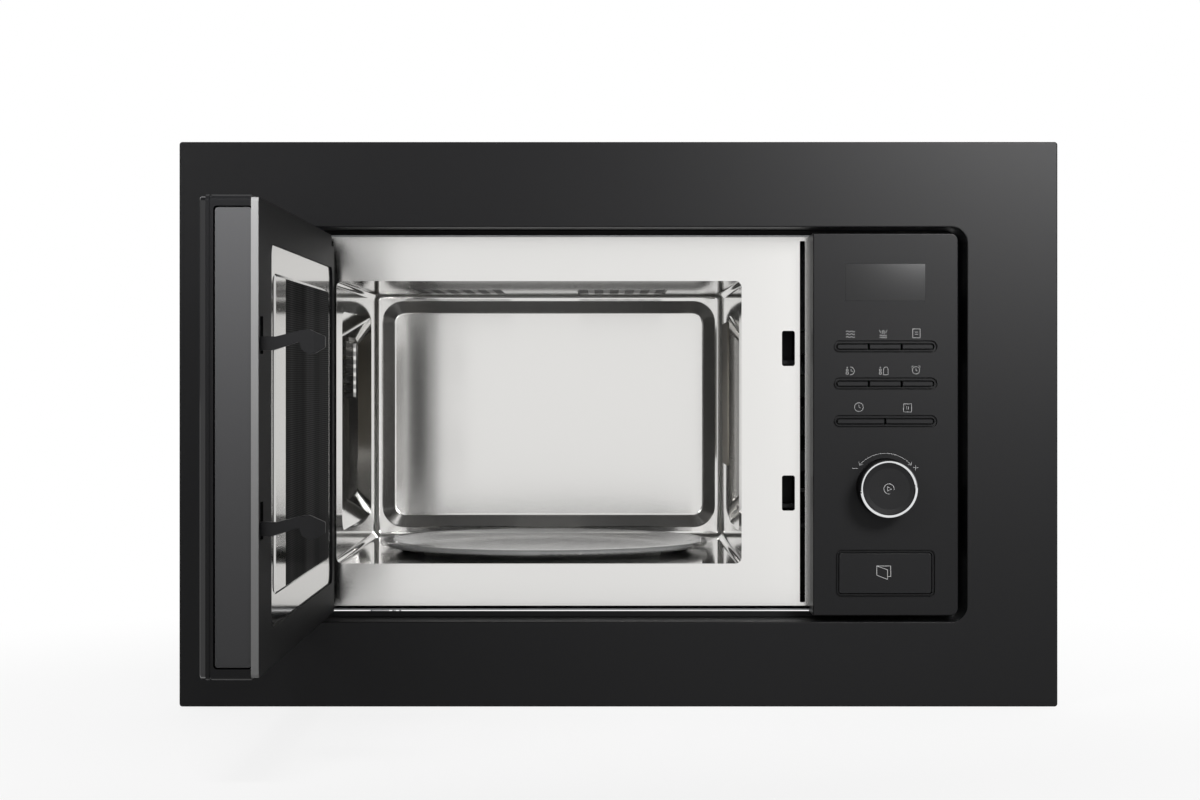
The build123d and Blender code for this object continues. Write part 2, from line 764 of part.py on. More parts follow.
def glass_turntable():
    """Pressed glass dish with a flat rim and three driving lugs underneath."""
    base = glass_base_radius
    rim = glass_radius - glass_rim_width
    top = glass_low + glass_rise + glass_rim_thickness
    profile = Polyline((0, glass_low), (base, glass_low), (rim, glass_low + glass_rise),
                       (glass_radius, glass_low + glass_rise), (glass_radius, top), (rim, top),
                       (base, glass_low + glass_thickness), (0, glass_low + glass_thickness), close=True)
    face = make_face(profile)
    corners = [v for v in face.vertices() if v.X > base - 1]
    face = fillet(corners, 1.6)
    plane = Plane(origin=(cavity_x, cavity_y, 0), x_dir=(1, 0, 0), z_dir=(0, -1, 0))
    dish = revolve(plane * face, Axis((cavity_x, cavity_y, 0), (0, 0, 1)))
    lugs = Sketch() + [Pos(cavity_x, cavity_y) * spot * Circle(4) for spot in PolarLocations(18, 3, 90)]
    return dish + level_slab(lugs, glass_low - 4, glass_low + 1)


def roller_ring():
    """Moulded ring under the glass with three radial axles."""
    plane = Plane(origin=(cavity_x, cavity_y, 0), x_dir=(1, 0, 0), z_dir=(0, -1, 0))
    section = Pos(ring_radius, roller_level) * RectangleRounded(2 * ring_section, 1.6 * ring_section, 1)
    ring = revolve(plane * section, Axis((cavity_x, cavity_y, 0), (0, 0, 1)))
    reach = roller_circle + roller_width / 2 + 1.5
    axle = side_slab(Pos(0, roller_level) * Circle(axle_radius), ring_radius, reach)
    return ring + [Pos(cavity_x, cavity_y) * Rot(0, 0, angle) * axle for angle in roller_angles()]


def roller_angles():
    return [90 + 360 / roller_count * i for i in range(roller_count)]


def rollers():
    """Rollers that run on the well's floor, each on its own axle."""
    inner = roller_circle - roller_width / 2
    wheel = Circle(roller_radius) - Circle(axle_radius + running_gap)
    body = side_slab(Pos(0, roller_level) * wheel, inner, inner + roller_width)
    rims = [e for e in body.edges() if e.length > 2 * math.pi * (roller_radius - 0.1)]
    body = fillet(rims, 1.2)
    for name, angle in zip(("rear", "left", "right"), roller_angles()):
        parts["roller_" + name] = Pos(cavity_x, cavity_y) * Rot(0, 0, angle) * body


def hinge_arm(low, pin_low, pin_high):
    """Flat hinge arm with a round nose on the pivot, a tail along the casing and its pin."""
    half = hinge_arm_width / 2
    arm = span(hinge_x - half, hinge_x + half, hinge_setback, hinge_tail)
    arm += Pos(hinge_x, hinge_setback) * Circle(half - 0.6)
    arm = level_slab(arm, low, low + hinge_arm_thickness)
    return arm + post(hinge_x, hinge_setback, pin_radius, pin_low, pin_high)


def hinges():
    """Upper hinge on the casing's top and lower hinge under the base."""
    high = casing_high
    parts["upper_hinge"] = hinge_arm(high, front_high - pin_length, high)
    low = casing_low - hinge_arm_thickness
    parts["lower_hinge"] = hinge_arm(low, casing_low, front_low + pin_length)


def door_outline(inset, corner=door_corner):
    return span(door_left + inset, door_right - inset, front_low + inset, front_high - inset, corner)


def door_pane_piece():
    """Front pane of the door, a little smaller than the frame behind it."""
    pane = front_slab(door_outline(door_pane_inset), 0, door_pane)
    return chamfer(pane.faces().sort_by(Axis.Y)[0].edges(), 0.5)


def door_frame():
    """Moulded door frame: a hollow tray with a window, hinge bosses and a cut free edge for the strip."""
    body = front_slab(door_outline(0), door_pane, cover_front)
    body -= front_slab(door_outline(door_wall, 1.0), door_pane + door_wall, cover_front + 1)
    opening = door_outline(door_bezel + door_wall, 6.0)
    body -= front_slab(opening, 0, door_pane + 2 * door_wall)
    body -= front_slab(door_outline(-1) - door_outline(0.6), door_pane + 2.0, door_pane + 3.0)
    for low, high in ((front_low, front_low + pin_length + 3), (front_high - pin_length - 3, front_high)):
        body += post(hinge_x, hinge_setback, pin_radius + 2.2, low, high)
        body -= post(hinge_x, hinge_setback, pin_radius + running_gap, low - 1, high + 1)
    shelf = hook_levels[1] - 24 - spring_length - 2 * latch_play
    body += level_slab(span(latch_x - 8, door_right - door_wall, door_pane + 1, cover_front - latch_play), shelf - 3, shelf)
    strip = span(edge_strip_front, cover_front + 1, front_low + edge_strip_margin, front_high - edge_strip_margin, 2)
    body -= side_slab(strip, door_right - 2 * door_wall, door_right + 1)
    return body


def choke_plate():
    """Steel door plate: perforated screen in the window and a slotted choke trough round it."""
    back = cover_front
    left = door_left + cover_window_left - choke_edge
    right = door_right - cover_window_right + choke_edge + 4
    low = front_low + cover_window_low - choke_edge - 2
    high = front_high - cover_window_high + choke_edge + 2

    def field(grow):
        return span(left - grow, right + grow, low - grow, high + grow, 3 + max(grow, 0.0))

    columns = int((right - left - 2 * screen_margin) / screen_pitch)
    rows = int((high - low - 2 * screen_margin) / screen_pitch)
    mesh = holes(Rectangle(screen_hole, screen_hole), screen_pitch, screen_pitch, columns, rows,
                 (left + right) / 2, (low + high) / 2)
    plate = front_slab(field(0) - mesh, back - sheet, back)
    plate += front_slab(field(0) - field(-sheet), back - choke_depth, back)
    plate += front_slab(field(choke_width) - field(-sheet), back - choke_depth, back - choke_depth + sheet)
    plate += front_slab(field(choke_width) - field(choke_width - sheet), back - choke_depth, back)
    teeth = holes(Rectangle(4, 9), 20, 1, 13, 1, (left + right) / 2, back - 4.5)
    plate -= level_slab(teeth, low - choke_width - 1, low - choke_width + 2 * sheet)
    plate -= level_slab(teeth, high + choke_width - 2 * sheet, high + choke_width + 1)
    return plate


def cover_window(grow):
    """Window in the door's inner border, grown all round."""
    return span(door_left + cover_window_left - grow, door_right - cover_window_right + grow,
                front_low + cover_window_low - grow, front_high - cover_window_high + grow, cover_window_corner + grow)


def inner_window():
    """Clear sheet in a rebate of the inner border, with a raised panel that faces the oven's mouth."""
    seat = door_depth - cover_lip
    sheet_body = front_slab(cover_window(film_lap - film_play), cover_front, seat)
    panel = front_slab(span(cavity_left, cavity_right - film_panel_right, cavity_low + film_panel_low,
                            cavity_high - film_panel_high, 6), cover_front, seat + film_rise)
    return sheet_body + chamfer(panel.faces().sort_by(Axis.Y)[-1].edges(), film_rise - 0.05, 1.6)


def choke_cover():
    """Moulded inner border of the door with its window, latch slots and the strip along the free edge."""
    outline = span(door_left + cover_hinge_inset, door_right, front_low + cover_inset, front_high - cover_inset, 2.5)
    slots = Sketch() + [span(latch_x - 5.5, latch_x + 5.5, level - 7.2, level + 13.2, 1) for level in hook_levels]
    left = door_left + cover_hinge_inset
    relief = span(left - 1, left + hinge_relief_width, front_high - cover_inset - hinge_relief_height, front_high)
    body = front_slab(outline - cover_window(0) - slots - relief, cover_front, door_depth)
    body -= front_slab(cover_window(film_lap), cover_front, door_depth - cover_lip)
    strip_x = door_right - edge_strip_recess
    margin = edge_strip_margin + 0.8
    strip = span(edge_strip_front + 0.8, cover_front, front_low + margin, front_high - margin, 1.5)
    return body + side_slab(strip, strip_x - 2.0, strip_x)


def hook_profile(level):
    """Outline of one hook in depth and height: rising arm, flared head and bevelled nose."""
    face = door_depth
    tip = face + hook_reach
    root = face - latch_play - latch_bar_thickness
    points = ((root, level + 2.3), (face + 7.6, level + 2.2), (face + 22.0, level + 5.8), (face + 25.6, level + 6.0),
              (tip, level + 2.2), (tip, level - 3.6), (face + 28.8, level - 6.8), (face + 25.6, level - 7.2),
              (face + 21.5, level - 5.1), (face + 20.2, level - 0.6), (face + 6.1, level - 5.2), (root, level - 5.2))
    outline = make_face(Polyline(*points, close=True))
    return fillet([v for v in outline.vertices() if v.X > face], 1.0)


def latch_bar():
    """Sliding latch: an upright bar inside the door's free edge with two hooks."""
    low = hook_levels[1] - 24
    high = hook_levels[0] + 20
    back = cover_front - latch_play
    bar = front_slab(span(latch_x - latch_bar_width / 2, latch_x + latch_bar_width / 2, low, high, 3),
                     back - latch_bar_thickness, back)
    bar -= front_slab(span(latch_x - 4, latch_x + 4, low + 46, high - 46, 3.5), back - 10, back + 1)
    for level in hook_levels:
        hook = side_slab(hook_profile(level), latch_x - hook_inner, latch_x + hook_outer)
        tip = door_depth + hook_reach
        side = latch_x + hook_outer
        bevel = Polyline((side, tip - 5.6), (side + 1, tip - 5.6), (side + 1, tip + 1), (side - hook_nose_cut, tip + 1),
                         (side - hook_nose_cut, tip), close=True)
        bar += hook - level_slab(make_face(bevel), level - 20, level + 20)
    return bar



def latch_spring():
    """Close-wound return spring standing between the latch bar's foot and a rib of the door frame."""
    low = hook_levels[1] - 24 - spring_length - 0.3
    depth = cover_front - latch_play - spring_radius
    coil = Pos(latch_x, depth) * (Circle(spring_radius) - Circle(spring_radius - 1.0))
    return level_slab(coil, low, low + spring_length)


def interlock_bracket():
    """Moulded latch board behind the front plate: two cheeks, hook channels, catch ledges and lever bearings."""
    front = plate_back
    back = front + 40
    low = hook_levels[1] - 31
    high = hook_levels[0] + 20
    inner = latch_slot_width / 2 + 0.8
    cheek = 3.0
    side = fillet(span(front, back, low, high).vertices(), 4)
    body = side_slab(side, latch_x - inner - cheek, latch_x - inner)
    body += side_slab(side, latch_x + inner, latch_x + inner + cheek)
    for level in hook_levels:
        floor = level - latch_slot_height / 2 - 1
        roof = level + latch_slot_height / 2 + 1
        sections = span(front, lever_y + 1.5, floor - 3, floor) + span(front, back, roof, roof + 3)
        sections += span(front + 13.5, front + 17.5, level - 11, level - 8.2)
        sections += span(back - 3, back, floor - 3, roof + 1)
        body += side_slab(sections, latch_x - inner - 1, latch_x + inner + 1)
    bearing = Pos(lever_y, lever_z) * Circle(lever_pin + running_gap)
    return body - side_slab(bearing, latch_x - inner - cheek - 1, latch_x + inner + cheek + 1)



def release_lever():
    """Rocker that lifts the lower hook when the open button is pushed."""
    y = lever_y
    z = lever_z
    inner = latch_slot_width / 2 + 0.8
    body = side_slab(Pos(y, z) * Circle(lever_pin), latch_x - inner - 3.5, push_left + 8)
    lower_lip = hook_levels[1] - 7.2
    tip = lower_lip - 1.6
    finger = Polyline((y - 3.5, z), (y, z - 3.5), (y + 22, tip - 4), (y + 22, tip), (y + 15, tip), (y, z + 3.5), close=True)
    body += side_slab(make_face(finger), latch_x - 3, latch_x + 3)
    arm = Pos(y, z - lever_drop / 2) * SlotOverall(lever_drop + 8, 8).rotate(Axis.Z, 90)
    return body + side_slab(arm, push_left, push_left + 8)


def door_switches():
    """Three snap switches on the outside of the latch board."""
    face = latch_x + latch_slot_width / 2 + 0.8 + 3.0
    levels = (hook_levels[0] + 4, hook_levels[0] - 26, hook_levels[1] + 22)
    bodies = []
    for level in levels:
        case = side_slab(Pos(plate_back + 22, level) * RectangleRounded(28, 16, 1.5), face, face + 10)
        tabs = Sketch() + [Pos(plate_back + 22 + 14 + 3, level + s) * Rectangle(6, 1) for s in (-5, 0, 5)]
        bodies.append(case + side_slab(tabs, face + 2.5, face + 7.5))
    return Compound(bodies)


def panel_outline(inset):
    shape = span(panel_left + inset, front_half - inset, front_low + inset, front_high - inset)
    return fillet(shape.vertices().group_by(Axis.X)[-1], panel_corner - min(inset, panel_corner - 1))


def row_pill(level, inset):
    """Long round-ended outline of a button row, drawn in by an inset."""
    return Pos(panel_x, level) * SlotOverall(row_groove_width - 2 * inset, row_groove_height - 2 * inset)


def control_panel():
    """Moulded fascia: hollow shell, display opening, button rows with rims, knob well and button collar."""
    shell = front_slab(panel_outline(0), 0, plate_front)
    shell = fillet(shell.faces().sort_by(Axis.Y)[0].edges(), 0.8)
    shell -= front_slab(panel_outline(panel_wall), panel_wall, plate_front + 1)
    shell += front_disc(panel_x, knob_level, knob_well_radius + 2, panel_wall, knob_well_depth + 2)
    collar = button_outline(open_button_gap + 2) - button_outline(open_button_gap)
    shell += front_slab(collar, panel_wall, open_button_depth - 3)
    posts = [(panel_left + 8.5, knob_level - 19), (front_half - 8.5, knob_level - 19),
             (panel_left + 8.5, front_high - 16), (front_half - 8.5, front_high - 16)]
    for x, z in posts:
        shell += front_disc(x, z, post_radius, panel_wall, board_depth)
    cuts = Pos(panel_x, display_level) * Rectangle(display_width + 2 * fold_gap, display_height + 2 * fold_gap)
    for level in row_levels:
        cuts += row_pill(level, row_slot_inset)
    cuts += button_outline(open_button_gap)
    cuts += Pos(panel_x, knob_level) * Circle(sleeve_radius + 3)
    shell -= front_slab(cuts, -1, board_depth - 6)
    shell -= front_disc(panel_x, knob_level, knob_well_radius, -1, knob_well_depth)
    for level in row_levels:
        shell -= front_slab(row_pill(level, 0) - row_pill(level, row_rim), -1, row_groove_depth)
    bead = open_button_gap + open_button_bead
    groove = button_outline(bead + open_button_groove) - button_outline(bead)
    return shell - front_slab(groove, -1, row_groove_depth)


def button_outline(grow):
    """Outline of the open button, grown by a margin."""
    return Pos(panel_x, open_button_level) * RectangleRounded(open_button_width + 2 * grow,
                                                             open_button_height + 2 * grow, max(1.6 + grow, 0.8))


def display_window():
    """Tinted lens set flush in the fascia, with a lip behind."""
    lens = Pos(panel_x, display_level) * Rectangle(display_width, display_height)
    lip = Pos(panel_x, display_level) * Rectangle(display_width + 5, display_height + 5)
    return front_slab(lens, 0, panel_wall) + front_slab(lip, panel_wall, panel_wall + display_thickness)


def key_outlines(row):
    """The round-ended strip of one row cut into its buttons."""
    level = row_levels[row]
    strip = row_pill(level, row_slot_inset + key_gap)
    half = row_groove_width / 2
    cuts = (-half,) + row_splits[row] + (half,)
    keys = []
    for low, high in zip(cuts, cuts[1:]):
        window = span(panel_x + low + key_split / 2, panel_x + high - key_split / 2, level - half, level + half)
        keys.append((strip & window, panel_x + (max(low, -half + 4) + min(high, half - 4)) / 2))
    return keys


def key_buttons():
    """Eight push buttons, each with a retaining flange and a stem down to its switch."""
    for row, names in enumerate(row_names):
        for name, (outline, middle) in zip(names, key_outlines(row)):
            cap = front_slab(outline, -key_proud, key_length)
            cap = chamfer(cap.faces().sort_by(Axis.Y)[0].edges(), 0.3)
            limits = outline.bounding_box()
            flange = span(limits.min.X, limits.max.X, limits.min.Y - key_flange, limits.max.Y + key_flange)
            cap += front_slab(flange, panel_wall + latch_play, panel_wall + latch_play + 1.4)
            stem_end = board_depth - 4 - key_travel - 0.2
            parts["button_" + name] = cap + front_disc(middle, row_levels[row], key_stem_radius, key_length, stem_end)


def control_board():
    """Circuit board on the fascia's posts with switches, display block and relay."""
    low = knob_level - 24
    high = front_high - 10
    board = front_slab(span(panel_left + 4, front_half - 4, low, high, 2), board_depth, board_depth + board_thickness)
    for row in range(len(row_levels)):
        for _, middle in key_outlines(row):
            place = Pos(middle, row_levels[row])
            board += front_slab(place * Rectangle(6, 6), board_depth - 2.6, board_depth)
            board += front_slab(place * Circle(1.7), board_depth - 4, board_depth - 2.6)
    display = Pos(panel_x, display_level) * Rectangle(display_width - 4, display_height - 5)
    board += front_slab(display, panel_wall + display_thickness + 0.3, board_depth)
    back = board_depth + board_thickness
    board += front_slab(span(panel_x - 30, panel_x - 10, high - 48, high - 20), back, back + 14)
    board += front_slab(span(panel_x + 4, panel_x + 36, high - 52, high - 20, 2), back, back + 22)
    return board


def encoder_body():
    """Rotary encoder on the board with its threaded nose."""
    nose = front_disc(panel_x, knob_level, sleeve_radius + 1.6, knob_well_depth + 0.6, board_depth - 6.5)
    block = front_slab(Pos(panel_x, knob_level) * RectangleRounded(14, 14, 1), board_depth - 6.5, board_depth)
    return nose + block - front_disc(panel_x, knob_level, sleeve_radius + running_gap, 0, board_depth - 0.6)


def flatted(radius, flat):
    """Round section with one flat."""
    return Circle(radius) & Pos(0, flat - radius) * Rectangle(2 * radius, 2 * radius)


def encoder_sleeve():
    """Turning sleeve of the encoder; the knob's stem slides in its flatted bore."""
    section = Circle(sleeve_radius) - flatted(stem_radius + running_gap, stem_radius * 0.55 + running_gap)
    return front_slab(Pos(panel_x, knob_level) * section, knob_well_depth - 1.2, board_depth - 0.9)


def knob():
    """Turned knob: tapered skirt, seat for the bright ring, dished face, and a flatted stem."""
    front = -knob_proud
    seat = knob_ring_radius - knob_ring_width
    face = seat - 0.4
    base = knob_well_depth - 1.6
    shell = ((0, front + 1.4), (face - 3, front + 1.0), (face, front + 0.4), (face, front + 1.2), (seat, front + 1.2),
             (seat, front + knob_ring_depth), (knob_radius - 0.3, front + knob_ring_depth), (knob_radius, base),
             (knob_radius - 2.2, base), (knob_radius - 2.2, front + 6), (5.0, front + 6), (5.0, base - 1), (0, base - 1))
    body = turned_deep(shell, panel_x, knob_level)
    stem = Pos(panel_x, knob_level) * flatted(stem_radius, stem_radius * 0.55)
    return body + front_slab(stem, base - 1, board_depth - 3)


def knob_ring():
    """Bright ring pressed round the knob's face."""
    front = -knob_proud
    inner = knob_ring_radius - knob_ring_width
    section = ((inner, front + knob_ring_depth), (inner, front + 0.4), (inner + 0.4, front),
               (knob_ring_radius - 0.6, front), (knob_ring_radius, front + 0.6), (knob_ring_radius, front + knob_ring_depth))
    return turned_deep(section, panel_x, knob_level)


def open_button():
    """Wide door-release button: a hollow cap with stop lugs and a pusher rib for the lever."""
    cap = front_slab(button_outline(0), 0, open_button_depth)
    cap = fillet(cap.faces().sort_by(Axis.Y)[0].edges(), 0.5)
    cap -= front_slab(button_outline(-2), 2.4, open_button_depth + 1)
    lug = button_outline(open_button_gap + 1.8) - button_outline(-2)
    cap += front_slab(lug, open_button_depth - 3 + latch_play, open_button_depth - 3 + latch_play + 2)
    rib = span(2.4, lever_y - 4 - latch_play, open_button_level - 4, open_button_level + 4)
    rib = fillet(rib.vertices().group_by(Axis.X)[-1], 3.9)
    return cap + side_slab(rib, push_left, push_left + 8)


def screw(x, y, z, direction):
    """Pan-head screw whose head seats at a point and whose shank runs on the other way."""
    plane = Plane(origin=(x, y, z), z_dir=direction)
    head = extrude(plane * Circle(screw_head_radius), amount=screw_head)
    head = fillet(head.faces().sort_by(Axis(plane.origin, plane.z_dir))[-1].edges(), 0.9)
    return head


def case_screws():
    """Screw heads that hold the back, the wrap's sides and the hinges."""
    back = casing_back + sheet
    spots = [(x, back, z, (0, 1, 0)) for x in (-front_half + 9, 0, front_half - 9) for z in (casing_low + 9, casing_high - 9)]
    spots += [(hinge_x, y, casing_high + hinge_arm_thickness, (0, 0, 1)) for y in hinge_screws]
    spots += [(hinge_x, y, casing_low - hinge_arm_thickness, (0, 0, -1)) for y in hinge_screws]
    return Compound([screw(*spot) for spot in spots])


def build():
    """Make every piece under its own name."""
    parts["trim_frame"] = trim_frame()
    parts["frame_brackets"] = frame_brackets()
    parts["outer_casing"] = outer_casing()
    parts["rear_cover"] = rear_cover()
    parts["cord_gland"] = cord_gland()
    parts["base_plate"] = base_plate()
    parts["plinth_runners"] = plinth_runners()
    parts["foot_pads"] = foot_pads()
    parts["front_plate"] = front_plate()
    parts["cavity_liner"] = cavity_liner()
    vent_screens()
    parts["waveguide"] = waveguide()
    parts["waveguide_cover"] = waveguide_cover()
    parts["magnetron"] = magnetron()
    parts["hv_transformer"] = hv_transformer()
    parts["hv_capacitor"] = hv_capacitor()
    parts["fan_duct"] = fan_duct()
    parts["fan_motor"] = fan_motor()
    parts["fan_blade"] = fan_blade()
    parts["oven_lamp"] = oven_lamp()
    parts["grill_reflector"] = grill_reflector()
    parts["grill_elements"] = grill_elements()
    parts["turntable_motor"] = turntable_motor()
    parts["drive_coupler"] = drive_coupler()
    parts["glass_turntable"] = glass_turntable()
    parts["roller_ring"] = roller_ring()
    rollers()
    hinges()
    parts["door_pane"] = swung(door_pane_piece())
    parts["door_frame"] = swung(door_frame())
    parts["choke_plate"] = swung(choke_plate())
    parts["inner_window"] = swung(inner_window())
    parts["choke_cover"] = swung(choke_cover())
    parts["latch_bar"] = swung(latch_bar())
    parts["latch_spring"] = swung(latch_spring())
    parts["interlock_bracket"] = interlock_bracket()
    parts["release_lever"] = release_lever()
    parts["door_switches"] = door_switches()
    parts["control_panel"] = control_panel()
    parts["display_window"] = display_window()
    key_buttons()
    parts["control_board"] = control_board()
    parts["encoder_body"] = encoder_body()
    parts["encoder_sleeve"] = encoder_sleeve()
    parts["knob"] = knob()
    parts["knob_ring"] = knob_ring()
    parts["open_button"] = open_button()
    parts["case_screws"] = case_screws()


build()
os.makedirs("parts", exist_ok=True)
for name, shape in parts.items():
    export_step(shape, "parts/" + name + ".step")
print(len(parts), "pieces")
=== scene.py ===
# %% [markdown]
# # A built-in microwave oven with its door open
# The imported CAD model is the fixed frame of this scene: every piece keeps its place and size.
# Blender adds the finishes, the printed symbols and the studio. This first cell loads the frame.

# %% Load the imported frame
import math
import bpy
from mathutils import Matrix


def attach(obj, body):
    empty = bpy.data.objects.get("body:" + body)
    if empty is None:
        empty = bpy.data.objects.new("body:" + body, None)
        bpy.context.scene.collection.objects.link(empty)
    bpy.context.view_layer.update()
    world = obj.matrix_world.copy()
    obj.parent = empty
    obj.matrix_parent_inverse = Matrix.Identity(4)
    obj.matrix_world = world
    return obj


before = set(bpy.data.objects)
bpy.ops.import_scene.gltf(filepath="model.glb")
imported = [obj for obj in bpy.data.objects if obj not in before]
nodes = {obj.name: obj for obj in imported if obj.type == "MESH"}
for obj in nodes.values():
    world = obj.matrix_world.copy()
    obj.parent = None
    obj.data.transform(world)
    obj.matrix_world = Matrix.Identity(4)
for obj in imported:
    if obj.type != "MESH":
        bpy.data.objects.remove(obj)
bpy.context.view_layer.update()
scene = bpy.context.scene
MM = 0.001

# %% [markdown]
# ## Helpers for finishes
# Colours are written as sRGB hex, as a paint chart gives them, and turned to the linear values
# that shaders work in. One function adds a shader node with its settings and links, so each
# finish below reads as a short recipe.

# %% Colour and node helpers
def linear(code):
    """An sRGB hex colour as linear red, green, blue and alpha."""
    parts = [int(code[i:i + 2], 16) / 255 for i in (1, 3, 5)]
    return tuple(c / 12.92 if c <= 0.04045 else ((c + 0.055) / 1.055) ** 2.4 for c in parts) + (1.0,)


def add(tree, kind, links=(), **settings):
    """Add one shader node; links pair its socket with a value or with another node's output."""
    node = tree.nodes.new("ShaderNode" + kind)
    for key, value in settings.items():
        setattr(node, key, value)
    for socket, value in links:
        if isinstance(value, bpy.types.NodeSocket):
            tree.links.new(value, node.inputs[socket])
        else:
            node.inputs[socket].default_value = value
    return node


print("mid grey is", round(linear("#808080")[0], 3), "in linear light")

# %% Material helpers
def start_material(name):
    """A new material with an empty node tree, and the place on the object that its patterns follow."""
    material = bpy.data.materials.new(name)
    material.use_nodes = True
    tree = material.node_tree
    tree.nodes.clear()
    return material, tree, add(tree, "TexCoord").outputs["Object"]


def end_material(tree, shader):
    """Join the last shader to the material's output."""
    add(tree, "OutputMaterial", [("Surface", shader)])


def wear(material, *names):
    """Give these CAD nodes one material."""
    for name in names:
        nodes[name].data.materials.clear()
        nodes[name].data.materials.append(material)


print("material helpers ready")

# %% [markdown]
# ## Moulded plastics and coated sheet
# The frame is sheet steel with a baked black coat, the control panel and door are moulded ABS.
# Both show the eye a soft sheen broken by a fine grain: the coat's orange peel and the mould's
# spark texture. Photographed textures would need unwrapping; a noise at the grain's real size
# sits on any shape, so it drives a little colour, roughness and bump here.

# %% Grained finish
GRAIN_DEPTH = 0.1 * MM


def grained(name, colour, roughness, grain_mm, bump, variation=0.06, specular=0.13, patch_mm=60.0,
            metallic=0.0):
    """A satin surface with a fine grain and faint broad patches."""
    material, tree, place = start_material(name)
    grain = add(tree, "TexNoise", [("Vector", place), ("Scale", 1 / (grain_mm * MM)), ("Detail", 3.0)])
    patch = add(tree, "TexNoise", [("Vector", place), ("Scale", 1 / (patch_mm * MM)), ("Detail", 2.0)])
    tone = add(tree, "MapRange", [("Value", patch.outputs["Fac"]), ("To Min", 1 - variation),
                                  ("To Max", 1 + variation)])
    base = add(tree, "VectorMath", [(0, linear(colour)[:3]), ("Scale", tone.outputs["Result"])],
               operation="SCALE")
    sheen = add(tree, "MapRange", [("Value", grain.outputs["Fac"]), ("To Min", roughness * 0.85),
                                   ("To Max", roughness * 1.15)])
    relief = add(tree, "Bump", [("Height", grain.outputs["Fac"]), ("Strength", bump),
                                ("Distance", GRAIN_DEPTH)])
    shader = add(tree, "BsdfPrincipled",
                 [("Base Color", base.outputs["Vector"]), ("Roughness", sheen.outputs["Result"]),
                  ("Specular IOR Level", specular), ("Metallic", metallic),
                  ("Normal", relief.outputs["Normal"])])
    end_material(tree, shader.outputs["BSDF"])
    return material


print("grained finish ready, relief", GRAIN_DEPTH / MM, "mm")

# %% Coated and moulded pieces in view
# Baked coat on folded sheet: orange peel spreads each lamp into a wide, even sheen.
wear(grained("baked_black_coat", "#111112", 0.40, 0.7, 0.10), "trim_frame")
# ABS from a spark-textured mould: a satin black with a slightly tighter sheen than the coat.
wear(grained("satin_black_abs", "#111112", 0.36, 0.5, 0.06), "control_panel")
# ABS from a finer mould: the buttons are a shade lighter, so their edges show on the panel.
wear(grained("button_black_abs", "#141415", 0.34, 0.4, 0.05), "open_button",
     *[name for name in nodes if name.startswith("button_")])
# ABS with a matt mould face: the dial stays dark and keeps lamps from showing on its flat front.
wear(grained("knob_black_abs", "#121213", 0.55, 0.4, 0.05), "knob")
# ABS of the door's frame: a plain satin black with a more open grain.
wear(grained("door_black_abs", "#131314", 0.40, 0.5, 0.10), "door_frame", "choke_plate")
# Acetal, moulded: waxy and smooth, so the hooks look greyer than the door behind them.
wear(grained("black_acetal", "#1C1C1D", 0.34, 0.6, 0.05), "latch_bar", "interlock_bracket",
     "release_lever")
print("materials so far:", len(bpy.data.materials))

# %% Moulded and coated pieces inside
# Acetal in its own white: a milky, even surface on the wheels that carry the glass.
wear(grained("white_acetal", "#D8D6D0", 0.40, 0.6, 0.05), "roller_ring", "roller_rear", "roller_left",
     "roller_right", "drive_coupler")
# Rubber: no clear highlight at all.
wear(grained("black_rubber", "#1B1B1B", 0.75, 0.8, 0.25), "foot_pads")
# Filled plastic of hidden mouldings: dull, with a coarse grain.
wear(grained("black_moulding", "#1D1D1E", 0.5, 0.6, 0.12), "fan_duct", "fan_blade", "cord_gland",
     "door_switches")
# Pressed mica: flakes give it a cloudy grey-brown face.
wear(grained("mica_sheet", "#8C877E", 0.55, 1.6, 0.20, variation=0.12, patch_mm=14), "waveguide_cover")
# Solder lacquer on a board: green with a soft gloss.
wear(grained("board_lacquer", "#1F5A36", 0.45, 1.2, 0.10), "control_board")
# Stacked iron sheets under varnish: dark brown metal with a blunt sheen.
wear(grained("varnished_iron", "#4A4743", 0.5, 0.9, 0.25, metallic=0.6), "hv_transformer", "fan_motor")
print("materials so far:", len(bpy.data.materials))

# %% [markdown]
# ## Sheet metal
# The cavity and the plate round its mouth are brushed stainless sheet. Its fine level lines smear
# every reflection upright and leave it fairly sharp from side to side, which an anisotropic
# shader gives without any modelled scratches. The lines themselves are a noise stretched along
# the sheet. The pressed ring round the back panel is duller than the rest, and its colour is darkened
# as painted shade for the dark reflections on its slopes, so polish and tone change at set depths.
# Galvanised sheet is duller still and carries its spangle.

# %% Rolled metal
STEP_BLUR = 0.3                # half the length over which the polish changes, mm
LINE_DEPTH = 0.02 * MM
UPRIGHT = (0.0, 0.2, 1.0)      # crossed with a face's normal, it gives that face's level direction
QUARTER_TURN = 0.25            # turns the smear from along the lines to across them


